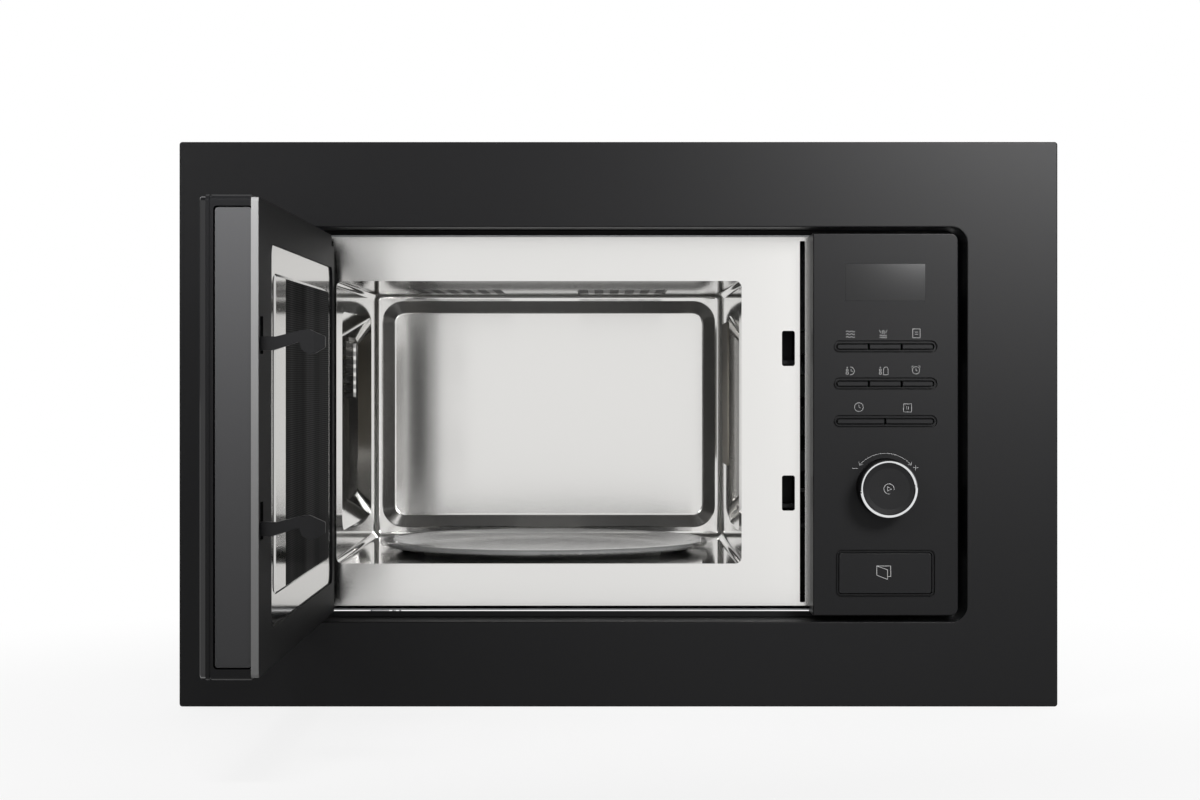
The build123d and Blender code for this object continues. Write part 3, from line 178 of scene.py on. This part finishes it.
def rolled(name, colour, roughness, line_mm, stretch, bump, steps=(), brushed=0.0):
    """Bare metal with fine lines along the sheet; steps change polish, and tone as painted shade, at depths
    in mm.
    """
    material, tree, place = start_material(name)
    depth_axis = add(tree, "SeparateXYZ", [("Vector", place)]).outputs["Y"]
    along = add(tree, "Mapping", [("Vector", place), ("Scale", stretch)])
    lines = add(tree, "TexNoise", [("Vector", along.outputs["Vector"]), ("Scale", 1 / (line_mm * MM)),
                                   ("Detail", 2.0)]).outputs["Fac"]
    sheen = add(tree, "MapRange", [("Value", lines), ("To Min", roughness * 0.75),
                                   ("To Max", roughness * 1.25)]).outputs["Result"]
    tone = add(tree, "MapRange", [("Value", lines), ("To Min", 0.99), ("To Max", 1.01)]).outputs["Result"]
    for depth, rougher, lighter in steps:
        reach = [("Value", depth_axis), ("From Min", (depth - STEP_BLUR) * MM),
                 ("From Max", (depth + STEP_BLUR) * MM)]
        rise = add(tree, "MapRange", reach + [("To Max", rougher)]).outputs["Result"]
        sheen = add(tree, "Math", [(0, sheen), (1, rise)], operation="ADD").outputs["Value"]
        # painted shade: a tone step darkens or lightens the metal's colour beyond its depth
        painted_shade_lift = add(tree, "MapRange", reach + [("To Max", lighter)]).outputs["Result"]
        tone = add(tree, "Math", [(0, tone), (1, painted_shade_lift)], operation="ADD").outputs["Value"]
    base = add(tree, "VectorMath", [(0, linear(colour)[:3]), ("Scale", tone)], operation="SCALE")
    relief = add(tree, "Bump", [("Height", lines), ("Strength", bump), ("Distance", LINE_DEPTH)])
    shader = add(tree, "BsdfPrincipled",
                 [("Base Color", base.outputs["Vector"]), ("Metallic", 1.0), ("Roughness", sheen),
                  ("Normal", relief.outputs["Normal"]), ("Anisotropic", brushed),
                  ("Anisotropic Rotation", QUARTER_TURN)])
    if brushed:
        facing = add(tree, "NewGeometry").outputs["Normal"]
        level = add(tree, "VectorMath", [(0, facing), (1, UPRIGHT)], operation="CROSS_PRODUCT")
        tree.links.new(level.outputs["Vector"], shader.inputs["Tangent"])
    end_material(tree, shader.outputs["BSDF"])
    return material


print("rolled metal ready")

# %% Stainless sheet
EVEN = (1.0, 1.0, 1.0)
# Where the polish changes on the way to the back, as depth in mm, change of roughness and of tone:
# the rounded edge before the flange, the flange, the pressed ring, and the panel inside it. The tone
# change is painted shade: it darkens the pressed ring and ends at the panel.
BACK_POLISH_AND_SHADE = ((318.6, 0.24, 0.0), (321.6, -0.20, 0.0), (322.5, 0.16, -0.55), (328.4, -0.13, 0.55))
# Brushed stainless plate: pale, with reflections drawn into upright smears.
wear(rolled("stainless_plate", "#E0DFDD", 0.20, 0.5, (0.02, 1.0, 1.0), 0.03, brushed=0.9), "front_plate")
# Pressed stainless cavity: a bright mirror on the walls, a soft one on the back panel, and painted shade on
# the pressed ring round it.
wear(rolled("stainless_cavity", "#DEDDDB", 0.06, 0.6, (0.3, 0.3, 1.0), 0.01, BACK_POLISH_AND_SHADE, brushed=0.9),
     "cavity_liner", "left_vent_screen", "right_vent_screen")
# Perforated steel with holes too fine to model: its colour is darkened to a dark grey as painted shade for
# the dark seen through the holes.
wear(rolled("shaded_screen_steel", "#4C4B4A", 0.30, 0.6, EVEN, 0.05), "ceiling_screens")
print("materials so far:", len(bpy.data.materials))

# %% Other metals
# Galvanised sheet: a dull grey with patches of spangle about 9 mm wide.
wear(rolled("galvanised_sheet", "#A9ABAD", 0.42, 9.0, EVEN, 0.10), "frame_brackets", "outer_casing",
     "rear_cover", "base_plate", "plinth_runners", "waveguide", "grill_reflector")
# Zinc-plated steel, turned or stamped: bright, with short blurred highlights.
wear(rolled("plated_steel", "#C4C6C8", 0.20, 0.5, (1.0, 1.0, 0.1), 0.05), "upper_hinge", "lower_hinge",
     "case_screws", "latch_spring", "encoder_body", "encoder_sleeve")
# Polished chrome: a clear mirror that turns the white room into a bright ring.
wear(rolled("polished_chrome", "#E4E5E6", 0.08, 0.4, (1.0, 0.05, 1.0), 0.02), "knob_ring")
# Plain aluminium: a soft pale metal with faint drawing lines.
wear(rolled("plain_aluminium", "#B8B9BA", 0.35, 0.8, (1.0, 1.0, 0.1), 0.08), "magnetron", "hv_capacitor",
     "turntable_motor")
print("materials so far:", len(bpy.data.materials))

# %% [markdown]
# ## Tinted pane and quartz
# The door's outer pane is float glass with a black tint: the eye sees only its clear reflections.
# The grill's tubes and the lamp are quartz. Both are one smooth shader with a faint ripple, since
# drawn glass is never quite flat.

# %% Pane and quartz
RIPPLE_DEPTH = 0.2 * MM


def glassy(name, colour, roughness, transmission, ripple_mm, bump):
    """A smooth sheet with a faint ripple."""
    material, tree, place = start_material(name)
    ripple = add(tree, "TexNoise", [("Vector", place), ("Scale", 1 / (ripple_mm * MM)), ("Detail", 1.0)])
    relief = add(tree, "Bump", [("Height", ripple.outputs["Fac"]), ("Strength", bump),
                                ("Distance", RIPPLE_DEPTH)])
    shader = add(tree, "BsdfPrincipled",
                 [("Base Color", linear(colour)), ("Roughness", roughness), ("IOR", 1.5),
                  ("Transmission Weight", transmission), ("Normal", relief.outputs["Normal"])])
    end_material(tree, shader.outputs["BSDF"])
    return material


# Quartz: a hazy, nearly white tube that lets part of the light through.
wear(glassy("quartz_tube", "#E6E2DA", 0.15, 0.6, 12, 0.05), "grill_elements", "oven_lamp")
# Tinted float glass: black, with sharp reflections that bend a little.
wear(glassy("tinted_door_glass", "#0C0C0D", 0.05, 0.0, 80, 0.02), "door_pane")
print("materials so far:", len(bpy.data.materials))

# %% [markdown]
# ## The display's lens
# The window over the display is a dark acrylic lens. Such lenses are a little bowed, so they mirror
# more of the lamp towards one corner. The solid is flat; leaning its normals outwards by a small
# amount per metre gives the bow without a denser mesh.

# %% Display lens
LENS_MIDDLE = (180.2 * MM, 0.0, 287.0 * MM)
LENS_BOW = (2.6, 0.0, 2.6)     # lean of the normal per metre from the middle
# Acrylic, moulded: darker than the panel on the left, and lighter towards the upper right.
lens, tree, place = start_material("display_lens")
outward = add(tree, "VectorMath", [(0, place), (1, LENS_MIDDLE)], operation="SUBTRACT")
bow = add(tree, "VectorMath", [(0, outward.outputs["Vector"]), (1, LENS_BOW)], operation="MULTIPLY")
facing = add(tree, "NewGeometry").outputs["Normal"]
bowed = add(tree, "VectorMath", [(0, facing), (1, bow.outputs["Vector"])], operation="ADD")
normal = add(tree, "VectorMath", [(0, bowed.outputs["Vector"])], operation="NORMALIZE")
haze = add(tree, "TexNoise", [("Vector", place), ("Scale", 1 / (0.5 * MM))])
sheen = add(tree, "MapRange", [("Value", haze.outputs["Fac"]), ("To Min", 0.20), ("To Max", 0.26)])
shader = add(tree, "BsdfPrincipled",
             [("Base Color", linear("#0B0B0C")), ("Specular IOR Level", 0.38),
              ("Normal", normal.outputs["Vector"]), ("Roughness", sheen.outputs["Result"])])
end_material(tree, shader.outputs["BSDF"])
wear(lens, "display_window")
print("lens bow per metre:", LENS_BOW[0])

# %% [markdown]
# ## The turntable's glass
# The plate is pressed soda glass with a pebbled underside. Real refraction in so thin a plate would
# only add noise, so a clear shader lets the steel below show, a little white cloud stands for the
# scatter of the pebbles, and a blurred mirror grows towards low angles.

# %% Turntable glass
PEBBLE = 2.6 * MM
# Pressed glass: grey and cloudy from the front, with a lighter sheen along its near side.
clear_glass, tree, place = start_material("pressed_glass")
pebble = add(tree, "TexVoronoi", [("Vector", place), ("Scale", 1 / PEBBLE)], feature="SMOOTH_F1")
relief = add(tree, "Bump", [("Height", pebble.outputs["Distance"]), ("Strength", 0.2),
                            ("Distance", 0.3 * MM)]).outputs["Normal"]
clear = add(tree, "BsdfTransparent", [("Color", linear("#E6E6E5"))])
cloud = add(tree, "BsdfDiffuse", [("Color", linear("#D8D9D8")), ("Normal", relief)])
through = add(tree, "MixShader", [("Fac", 0.22), (1, clear.outputs["BSDF"]), (2, cloud.outputs["BSDF"])])
mirror = add(tree, "BsdfGlossy", [("Color", linear("#FFFFFF")), ("Roughness", 0.16), ("Normal", relief)])
angle = add(tree, "Fresnel", [("IOR", 1.5), ("Normal", relief)])
shader = add(tree, "MixShader", [("Fac", angle.outputs["Fac"]), (1, through.outputs["Shader"]),
                                 (2, mirror.outputs["BSDF"])])
end_material(tree, shader.outputs["Shader"])
wear(clear_glass, "glass_turntable")
print("pebbles of", PEBBLE / MM, "mm")

# %% [markdown]
# ## The door's inner window
# The sheet inside the door has a bright metallised margin that mirrors the steel beside it. Its
# raised middle lies over the black screen, so the eye sees it nearly black with a fine line grain,
# and broad upright streaks painted in as reflection lighten and darken it.
# One sheet carries both, so the finish is split by its place on the sheet.

# %% Where the screen lies
SCREEN = (("Y", -123.2, 106.8), ("Z", 191.05, 88.7))   # axis, middle and half length of the screen, mm
# Metallised and printed film: a mirror at the margin, a dark lined screen inside it.
window_finish, tree, place = start_material("screened_window_film")
axes = add(tree, "SeparateXYZ", [("Vector", place)])
inside = []
for axis, middle, half in SCREEN:
    offset = add(tree, "Math", [(0, axes.outputs[axis]), (1, -middle * MM)], operation="ADD")
    distance = add(tree, "Math", [(0, offset.outputs["Value"])], operation="ABSOLUTE")
    near = add(tree, "Math", [(0, distance.outputs["Value"]), (1, half * MM)], operation="LESS_THAN")
    inside.append(near.outputs["Value"])
screened = add(tree, "Math", [(0, inside[0]), (1, inside[1])], operation="MULTIPLY")
print("screen", [2 * half for _, _, half in SCREEN], "mm")

# %% Inner window finish
LINE_PITCH = 1.3 * MM          # coarser than the real screen, so that it shows in the render
STREAK = 45 * MM
WAVE_PERIOD = math.pi / 10     # length of one wave at a scale of 1
lines = add(tree, "TexWave", [("Vector", place), ("Scale", WAVE_PERIOD / LINE_PITCH), ("Distortion", 0.3)],
            bands_direction="Z")
dark = add(tree, "MapRange", [("Value", lines.outputs["Fac"]), ("To Min", 0.018), ("To Max", 0.045)])
# painted reflection: broad upright streaks that lighten and darken the dark screen
upright = add(tree, "Mapping", [("Vector", place), ("Scale", (1.0, 1.0, 0.02))])
painted_reflection_streak = add(tree, "TexNoise", [("Vector", upright.outputs["Vector"]), ("Scale", 1 / STREAK)])
depth = add(tree, "MapRange", [("Value", painted_reflection_streak.outputs["Fac"]), ("From Min", 0.35), ("From Max", 0.65),
                               ("To Min", 0.6), ("To Max", 1.6)])
shade = add(tree, "Math", [(0, dark.outputs["Result"]), (1, depth.outputs["Result"])], operation="MULTIPLY")
screen = add(tree, "BsdfDiffuse", [("Color", shade.outputs["Value"])])
gloss = add(tree, "BsdfGlossy", [("Color", linear("#808080")), ("Roughness", 0.12)])
seen_through = add(tree, "MixShader", [("Fac", 0.03), (1, screen.outputs["BSDF"]),
                                       (2, gloss.outputs["BSDF"])])
bright = add(tree, "BsdfPrincipled", [("Base Color", linear("#C4C3C1")), ("Metallic", 1.0),
                                      ("Roughness", 0.10)])
both = add(tree, "MixShader", [("Fac", screened.outputs["Value"]), (1, bright.outputs["BSDF"]),
                               (2, seen_through.outputs["Shader"])])
end_material(tree, both.outputs["Shader"])
wear(window_finish, "inner_window")
print("screen lines every", LINE_PITCH / MM, "mm")

# %% [markdown]
# ## The door's inner border
# The border is one black moulding. Along its free edge the grained side face is coloured grey, and the
# thin end face beside it silver-grey, as painted sheen for the light that the black plastic catches
# there; the end face shows as a bright upright line. Both are told apart by their place on the
# moulding: the last millimetres towards the free edge, split where the border's thickness begins.

# %% Inner border finish
FREE_EDGE = -337.6 * MM        # the strip and the end face lie in front of this depth
END_FACE = -197.75 * MM        # the end face lies to the right of this
# ABS, moulded in black, with painted sheen: a grey strip and an end face that looks silver.
border_finish, tree, place = start_material("door_border_abs")
axes = add(tree, "SeparateXYZ", [("Vector", place)])
grain = add(tree, "TexNoise", [("Vector", place), ("Scale", 1 / (0.6 * MM)), ("Detail", 3.0)])
edge = add(tree, "Math", [(0, axes.outputs["Y"]), (1, FREE_EDGE)], operation="LESS_THAN")
end_face = add(tree, "Math", [(0, axes.outputs["X"]), (1, END_FACE)], operation="GREATER_THAN")
# painted sheen: grey on the strip, lighter on the end face
painted_sheen_tone = add(tree, "Mix", [("Factor", end_face.outputs["Value"]), ("A", linear("#434344")),
                         ("B", linear("#777777"))], data_type="RGBA")
base = add(tree, "Mix", [("Factor", edge.outputs["Value"]), ("A", linear("#101011")),
                         ("B", painted_sheen_tone.outputs["Result"])], data_type="RGBA")
sheen = add(tree, "MapRange", [("Value", grain.outputs["Fac"]), ("To Min", 0.46), ("To Max", 0.60)])
relief = add(tree, "Bump", [("Height", grain.outputs["Fac"]), ("Strength", 0.12), ("Distance", GRAIN_DEPTH)])
shader = add(tree, "BsdfPrincipled", [("Base Color", base.outputs["Result"]), ("Specular IOR Level", 0.03),
                                      ("Roughness", sheen.outputs["Result"]),
                                      ("Normal", relief.outputs["Normal"])])
end_material(tree, shader.outputs["BSDF"])
wear(border_finish, "choke_cover")
print("materials so far:", len(bpy.data.materials))

# %% [markdown]
# ## Printed symbols
# The fascia carries plain line symbols above its buttons, a scale over the dial with a minus and
# a plus, a start sign on the dial and an open door on the wide button. A picture texture would
# blur in close views, so each set is a flat mesh of thin ribbons lying 0.04 mm proud of its
# surface, and it moves with the piece it is printed on.

# %% Ribbon helper
SHARPEST_MITRE = 0.35          # keeps a joint between steep lines from growing a spike


def ribbon(points, width):
    """Corner points and faces of a thin flat line through points, in mm, with mitred joints."""
    closed = points[0] == points[-1]
    steps = [(x1 - x0, z1 - z0) for (x0, z0), (x1, z1) in zip(points, points[1:])]
    sides = [(-dz / math.hypot(dx, dz), dx / math.hypot(dx, dz)) for dx, dz in steps]
    before = [sides[-1] if closed else sides[0]] + sides
    after = sides + [sides[0] if closed else sides[-1]]
    corners = []
    for (x, z), (ax, az), (bx, bz) in zip(points, before, after):
        reach = width / 2 / max(SHARPEST_MITRE, (1 + ax * bx + az * bz) / 2)
        mx, mz = (ax + bx) / 2 * reach, (az + bz) / 2 * reach
        corners += [(x + mx, z + mz), (x - mx, z - mz)]
    faces = [(2 * i, 2 * i + 2, 2 * i + 3, 2 * i + 1) for i in range(len(steps))]
    return corners, faces


print("a line of two points has", len(ribbon([(0, 0), (1, 0)], 0.2)[1]), "face")

# %% Drawing helpers
LAYER = 0.0004                 # each line lies this much in front of the last, so crossings stay clean, mm


def arc(radius, start, end, count=24):
    """Points on a circle from one angle to another, in degrees."""
    angles = [math.radians(start + (end - start) * i / count) for i in range(count + 1)]
    return [(radius * math.cos(a), radius * math.sin(a)) for a in angles]


def moved(points, x, z, scale=1.0):
    """The same points about another middle."""
    return [(x + scale * px, z + scale * pz) for px, pz in points]


def print_lines(name, body, depth_mm, lines, width, material):
    """One flat printed piece made of ribbons, moving with a body."""
    corners, faces = [], []
    for i, line in enumerate(lines):
        more, quads = ribbon(line, width)
        faces += [tuple(j + len(corners) for j in quad) for quad in quads]
        corners += [(x, depth_mm - LAYER * i, z) for x, z in more]
    mesh = bpy.data.meshes.new(name)
    mesh.from_pydata([(x * MM, y * MM, z * MM) for x, y, z in corners], [], faces)
    mesh.materials.append(material)
    piece = bpy.data.objects.new(name, mesh)
    scene.collection.objects.link(piece)
    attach(piece, body)
    return piece


print("a full circle has", len(arc(1.0, 0, 360)), "points")

# %% Heat symbols
# Each symbol is a list of lines about its own middle, in mm.
wave = [(x / 8, 0.42 * math.sin(x * math.pi / 11)) for x in range(-24, 25)]
waves = [moved(wave, 0, level) for level in (-1.9, 0, 1.9)]
flame = [(-2.6, 2.6), (-2.1, 1.4), (-1.5, 0.6)]
hump = [(-0.9, -0.2), (-0.4, 0.4), (-0.7, 1.6), (0, 2.5), (0.7, 1.6), (0.4, 0.4), (0.9, -0.2)]
grill = [flame, [(-x, z) for x, z in flame], hump] + [moved(wave, 0, level, 0.8) for level in (-1.2, -2.5)]
drops = [moved(arc(0.85, 0, 360, 10), -2.2, -1.5), moved(arc(0.7, 0, 360, 10), -2.2, 0.6),
         [(-2.6, 2.0), (-2.2, 2.7), (-1.8, 2.0)]]
print("lines in waves, grill and drops:", len(waves), len(grill), len(drops))

# %% Time and sheet symbols
def box(half_x, half_z):
    """A closed rectangle about its middle."""
    return [(-half_x, -half_z), (half_x, -half_z), (half_x, half_z), (-half_x, half_z), (-half_x, -half_z)]


hands = [(0, 1.5), (0, 0), (1.1, -0.4)]
half_clock = [(-0.3, 2.6), (0.6, 2.6)] + arc(2.6, 78, -78, 14)[1:] + [(-0.3, -2.6)]
carton = [(0, -2.6), (0, 1.4), (0.9, 2.6), (2.3, 2.6), (3.0, 1.4), (3.0, -2.6), (0, -2.6)]
sheet_list = [box(2.5, 3)] + [[(-1.1, level), (1.1, level)] for level in (-0.6, 0.9)]
time_thaw = drops + [half_clock, moved(hands, 0.4, 0)]
weight_thaw = drops + [carton]
clock = [arc(2.95, 0, 360), hands]
alarm = [moved(arc(2.5, 0, 360), 0, -0.2), moved(hands, 0, -0.2, 0.9), arc(3.5, 30, 58, 6),
         arc(3.5, 122, 150, 6)]
stop = [box(2.7, 2.7)] + [[(x, -1.0), (x, 1.0)] for x in (-0.6, 0.6)]
print("lines in clock, alarm and stop:", len(clock), len(alarm), len(stop))

# %% Print the fascia
DIAL = (180.45, 148.3)         # middle of the dial, mm
PROUD = -0.04                  # the fascia's face is at depth 0, and print lies just in front, mm
FASCIA_LINE = 0.22             # width of a printed line, mm
symbols = [(waves, 156.9, 251.9), (grill, 179.1, 252.2), (sheet_list, 201.5, 252.5),
           (time_thaw, 156.9, 227.1), (weight_thaw, 179.3, 227.1), (alarm, 201.2, 227.7),
           (clock, 162.6, 202.6), (stop, 195.5, 202.1)]
scale_lines = [arc(23.1, 139, 41, 32)]
scale_lines += [[(side * 17.9, 17.3), (side * 17.43, 15.15), (side * 15.3, 15.5)] for side in (-1, 1)]
scale_lines += [[(-22.4, 12.9), (-18.6, 12.9)], [(18.6, 13.4), (22.4, 13.4)], [(20.5, 11.5), (20.5, 15.3)]]
fascia_lines = [moved(line, x, z) for shape, x, z in symbols for line in shape]
fascia_lines += [moved(line, *DIAL) for line in scale_lines]
# Pad-printed ink: a flat grey that stays matt under the lamps.
ink = grained("grey_print", "#969696", 0.55, 0.3, 0.02)
fascia_print = print_lines("fascia_print", "oven", PROUD, fascia_lines, FASCIA_LINE, ink)
print(fascia_print.name, "has", len(fascia_lines), "lines")

# %% Print the dial and the wide button
DIAL_FACE = -20.75             # just in front of the dial's face, mm
OPENER = (179.3, 90.7)         # middle of the wide button, mm
DIAL_LINE, OPENER_LINE = 0.32, 0.36   # widths of the printed lines, mm
start_lines = [arc(3.4, -10, 280, 30), [(-1.0, -1.5), (1.7, 0), (-1.0, 1.5), (-1.0, -1.5)]]
door_lines = [[(-4.6, 4.5), (2.7, 1.9), (2.7, -4.6), (-4.6, -1.7), (-4.6, 4.5)],
              [(-4.6, 4.5), (4.8, 4.5), (4.8, -2.6), (2.7, -2.6)]]
dial_print = print_lines("dial_print", "dial_cap", DIAL_FACE,
                         [moved(line, *DIAL) for line in start_lines], DIAL_LINE, ink)
opener_print = print_lines("opener_print", "opener", PROUD,
                           [moved(line, *OPENER) for line in door_lines], OPENER_LINE, ink)
print("printed pieces:", fascia_print.name, dial_print.name, opener_print.name)

# %% [markdown]
# ## Studio
# A white room: the wall behind the oven is white, and so is a wide panel behind the camera, a
# little up and to the right. The sides are dark, as with black flags, so that bent steel shows
# clear edges. The world gives both, since a lamp that large would only add noise.

# %% World
WALL_EDGE = 0.4                # the wall is full white from this share of the way behind
FLAG_LEVEL = 0.05              # light left on the dark sides
PANEL_WAY = (0.16, -0.967, 0.20)
scene.view_settings.view_transform = "Standard"
world = bpy.data.worlds.new("studio_white")
scene.world = world
world.use_nodes = True
tree = world.node_tree
tree.nodes.clear()
direction = add(tree, "TexCoord").outputs["Generated"]
way = add(tree, "SeparateXYZ", [("Vector", direction)])
behind = add(tree, "MapRange", [("Value", way.outputs["Y"]), ("From Min", 0.0), ("From Max", WALL_EDGE),
                                ("To Min", FLAG_LEVEL), ("To Max", 1.0)], interpolation_type="SMOOTHSTEP")
towards = add(tree, "VectorMath", [(0, direction), (1, PANEL_WAY)], operation="DOT_PRODUCT")
front = add(tree, "MapRange", [("Value", towards.outputs["Value"]), ("From Min", 0.72), ("From Max", 0.97),
                               ("To Min", 0.0), ("To Max", 1.03)])
level = add(tree, "Math", [(0, behind.outputs["Result"]), (1, front.outputs["Result"])], operation="ADD")
glow = add(tree, "Background", [("Color", linear("#FFFFFF")), ("Strength", level.outputs["Value"])])
add(tree, "OutputWorld", [("Surface", glow.outputs["Background"])])
print("world:", world.name)

# %% [markdown]
# ## Floor
# The oven stands on white studio paper. The paper keeps the oven's shadow and turns to plain white
# with distance. That white is shown only to the camera and in reflections, so the floor sends no
# extra light onto the oven.

# %% Floor
FLOOR_SIZE = 40.0
SHADOW_REACH = (0.3, 0.75)     # metres from the oven's middle over which the paper turns white
bpy.ops.mesh.primitive_plane_add(size=FLOOR_SIZE, location=(0.0, 0.0, 0.0))
floor = bpy.context.object
floor.name = "studio_floor"
# Matt paper: white without a highlight, with a trace of cloudiness.
floor_material, tree, place = start_material("studio_paper")
paper = add(tree, "TexNoise", [("Vector", place), ("Scale", 2.0)])
tone = add(tree, "MapRange", [("Value", paper.outputs["Fac"]), ("To Min", 0.93), ("To Max", 0.95)])
paint = add(tree, "BsdfDiffuse", [("Color", tone.outputs["Result"])])
far = add(tree, "VectorMath", [(0, place)], operation="LENGTH")
fade = add(tree, "MapRange", [("Value", far.outputs["Value"]), ("From Min", SHADOW_REACH[0]),
                              ("From Max", SHADOW_REACH[1]), ("To Min", 0.82), ("To Max", 1.0)],
           interpolation_type="SMOOTHSTEP")
path = add(tree, "LightPath").outputs
mirrored = add(tree, "Math", [(0, path["Is Glossy Ray"]), (1, path["Is Transmission Ray"])],
               operation="MAXIMUM")
seen = add(tree, "Math", [(0, path["Is Camera Ray"]), (1, mirrored.outputs["Value"])], operation="MAXIMUM")
part_white = add(tree, "Math", [(0, seen.outputs["Value"]), (1, fade.outputs["Result"])],
                 operation="MULTIPLY")
white = add(tree, "Emission", [("Color", linear("#FFFFFF")), ("Strength", 1.0)])
both = add(tree, "MixShader", [("Fac", part_white.outputs["Value"]), (1, paint.outputs["BSDF"]),
                               (2, white.outputs["Emission"])])
end_material(tree, both.outputs["Shader"])
floor.data.materials.append(floor_material)
print("floor:", floor.name, FLOOR_SIZE, "m wide")

# %% [markdown]
# ## Lamps
# A softbox at the upper right gives the black coat its sheen, a weak one at the upper left lifts
# the frame there, and a small one in front lights the door's edge from above. Their beams are held
# narrow, so that they light the oven and not the floor.

# %% Lamps
def lamp(name, place, target, width, height, watts, spread):
    """A soft rectangular lamp turned towards a point, its beam held to a spread in degrees."""
    data = bpy.data.lights.new(name, "AREA")
    data.spread = math.radians(spread)
    data.shape = "RECTANGLE"
    data.size = width
    data.size_y = height
    data.energy = watts
    lamp_object = bpy.data.objects.new(name, data)
    scene.collection.objects.link(lamp_object)
    lamp_object.location = place
    aim = [t - p for t, p in zip(target, place)]
    pitch = math.atan2(math.hypot(aim[0], aim[1]), -aim[2])
    lamp_object.rotation_euler = (pitch, 0.0, math.atan2(aim[1], aim[0]) - math.pi / 2)
    return lamp_object


key = lamp("key_softbox", (0.60, -1.1, 0.78), (0.30, 0.0, 0.42), 0.4, 0.4, 3.0, 50)
top = lamp("top_softbox", (-0.22, -0.62, 0.47), (-0.21, -0.34, 0.37), 0.14, 0.08, 0.75, 90)
top.visible_glossy = False
fill = lamp("fill_softbox", (-0.80, -1.1, 0.78), (-0.30, 0.0, 0.42), 0.4, 0.4, 0.5, 50)
print("lamps:", key.name, top.name, fill.name)

# %% [markdown]
# ## Camera
# The oven is seen square on from 1.59 m, a little above its middle and left of it, with a lens of
# about 70 mm. Upright and level edges stay straight in the photograph, so the picture was framed
# by shifting the lens and not by tilting the camera.

# %% Camera
FRAME_WIDTH = 1200             # width of the photograph, pixels
camera_data = bpy.data.cameras.new("front_camera")
camera_data.sensor_width = 36.0
camera_data.sensor_fit = "HORIZONTAL"
camera_data.lens = 70.4
camera_data.shift_x = -2.5 / FRAME_WIDTH
camera_data.shift_y = -23.9 / FRAME_WIDTH
camera = bpy.data.objects.new("front_camera", camera_data)
scene.collection.objects.link(camera)
camera.location = (-0.0108, -1.587, 0.2236)
camera.rotation_euler = (math.pi / 2, 0.0, 0.0)
scene.camera = camera
print("camera at", [round(c, 4) for c in camera.location])
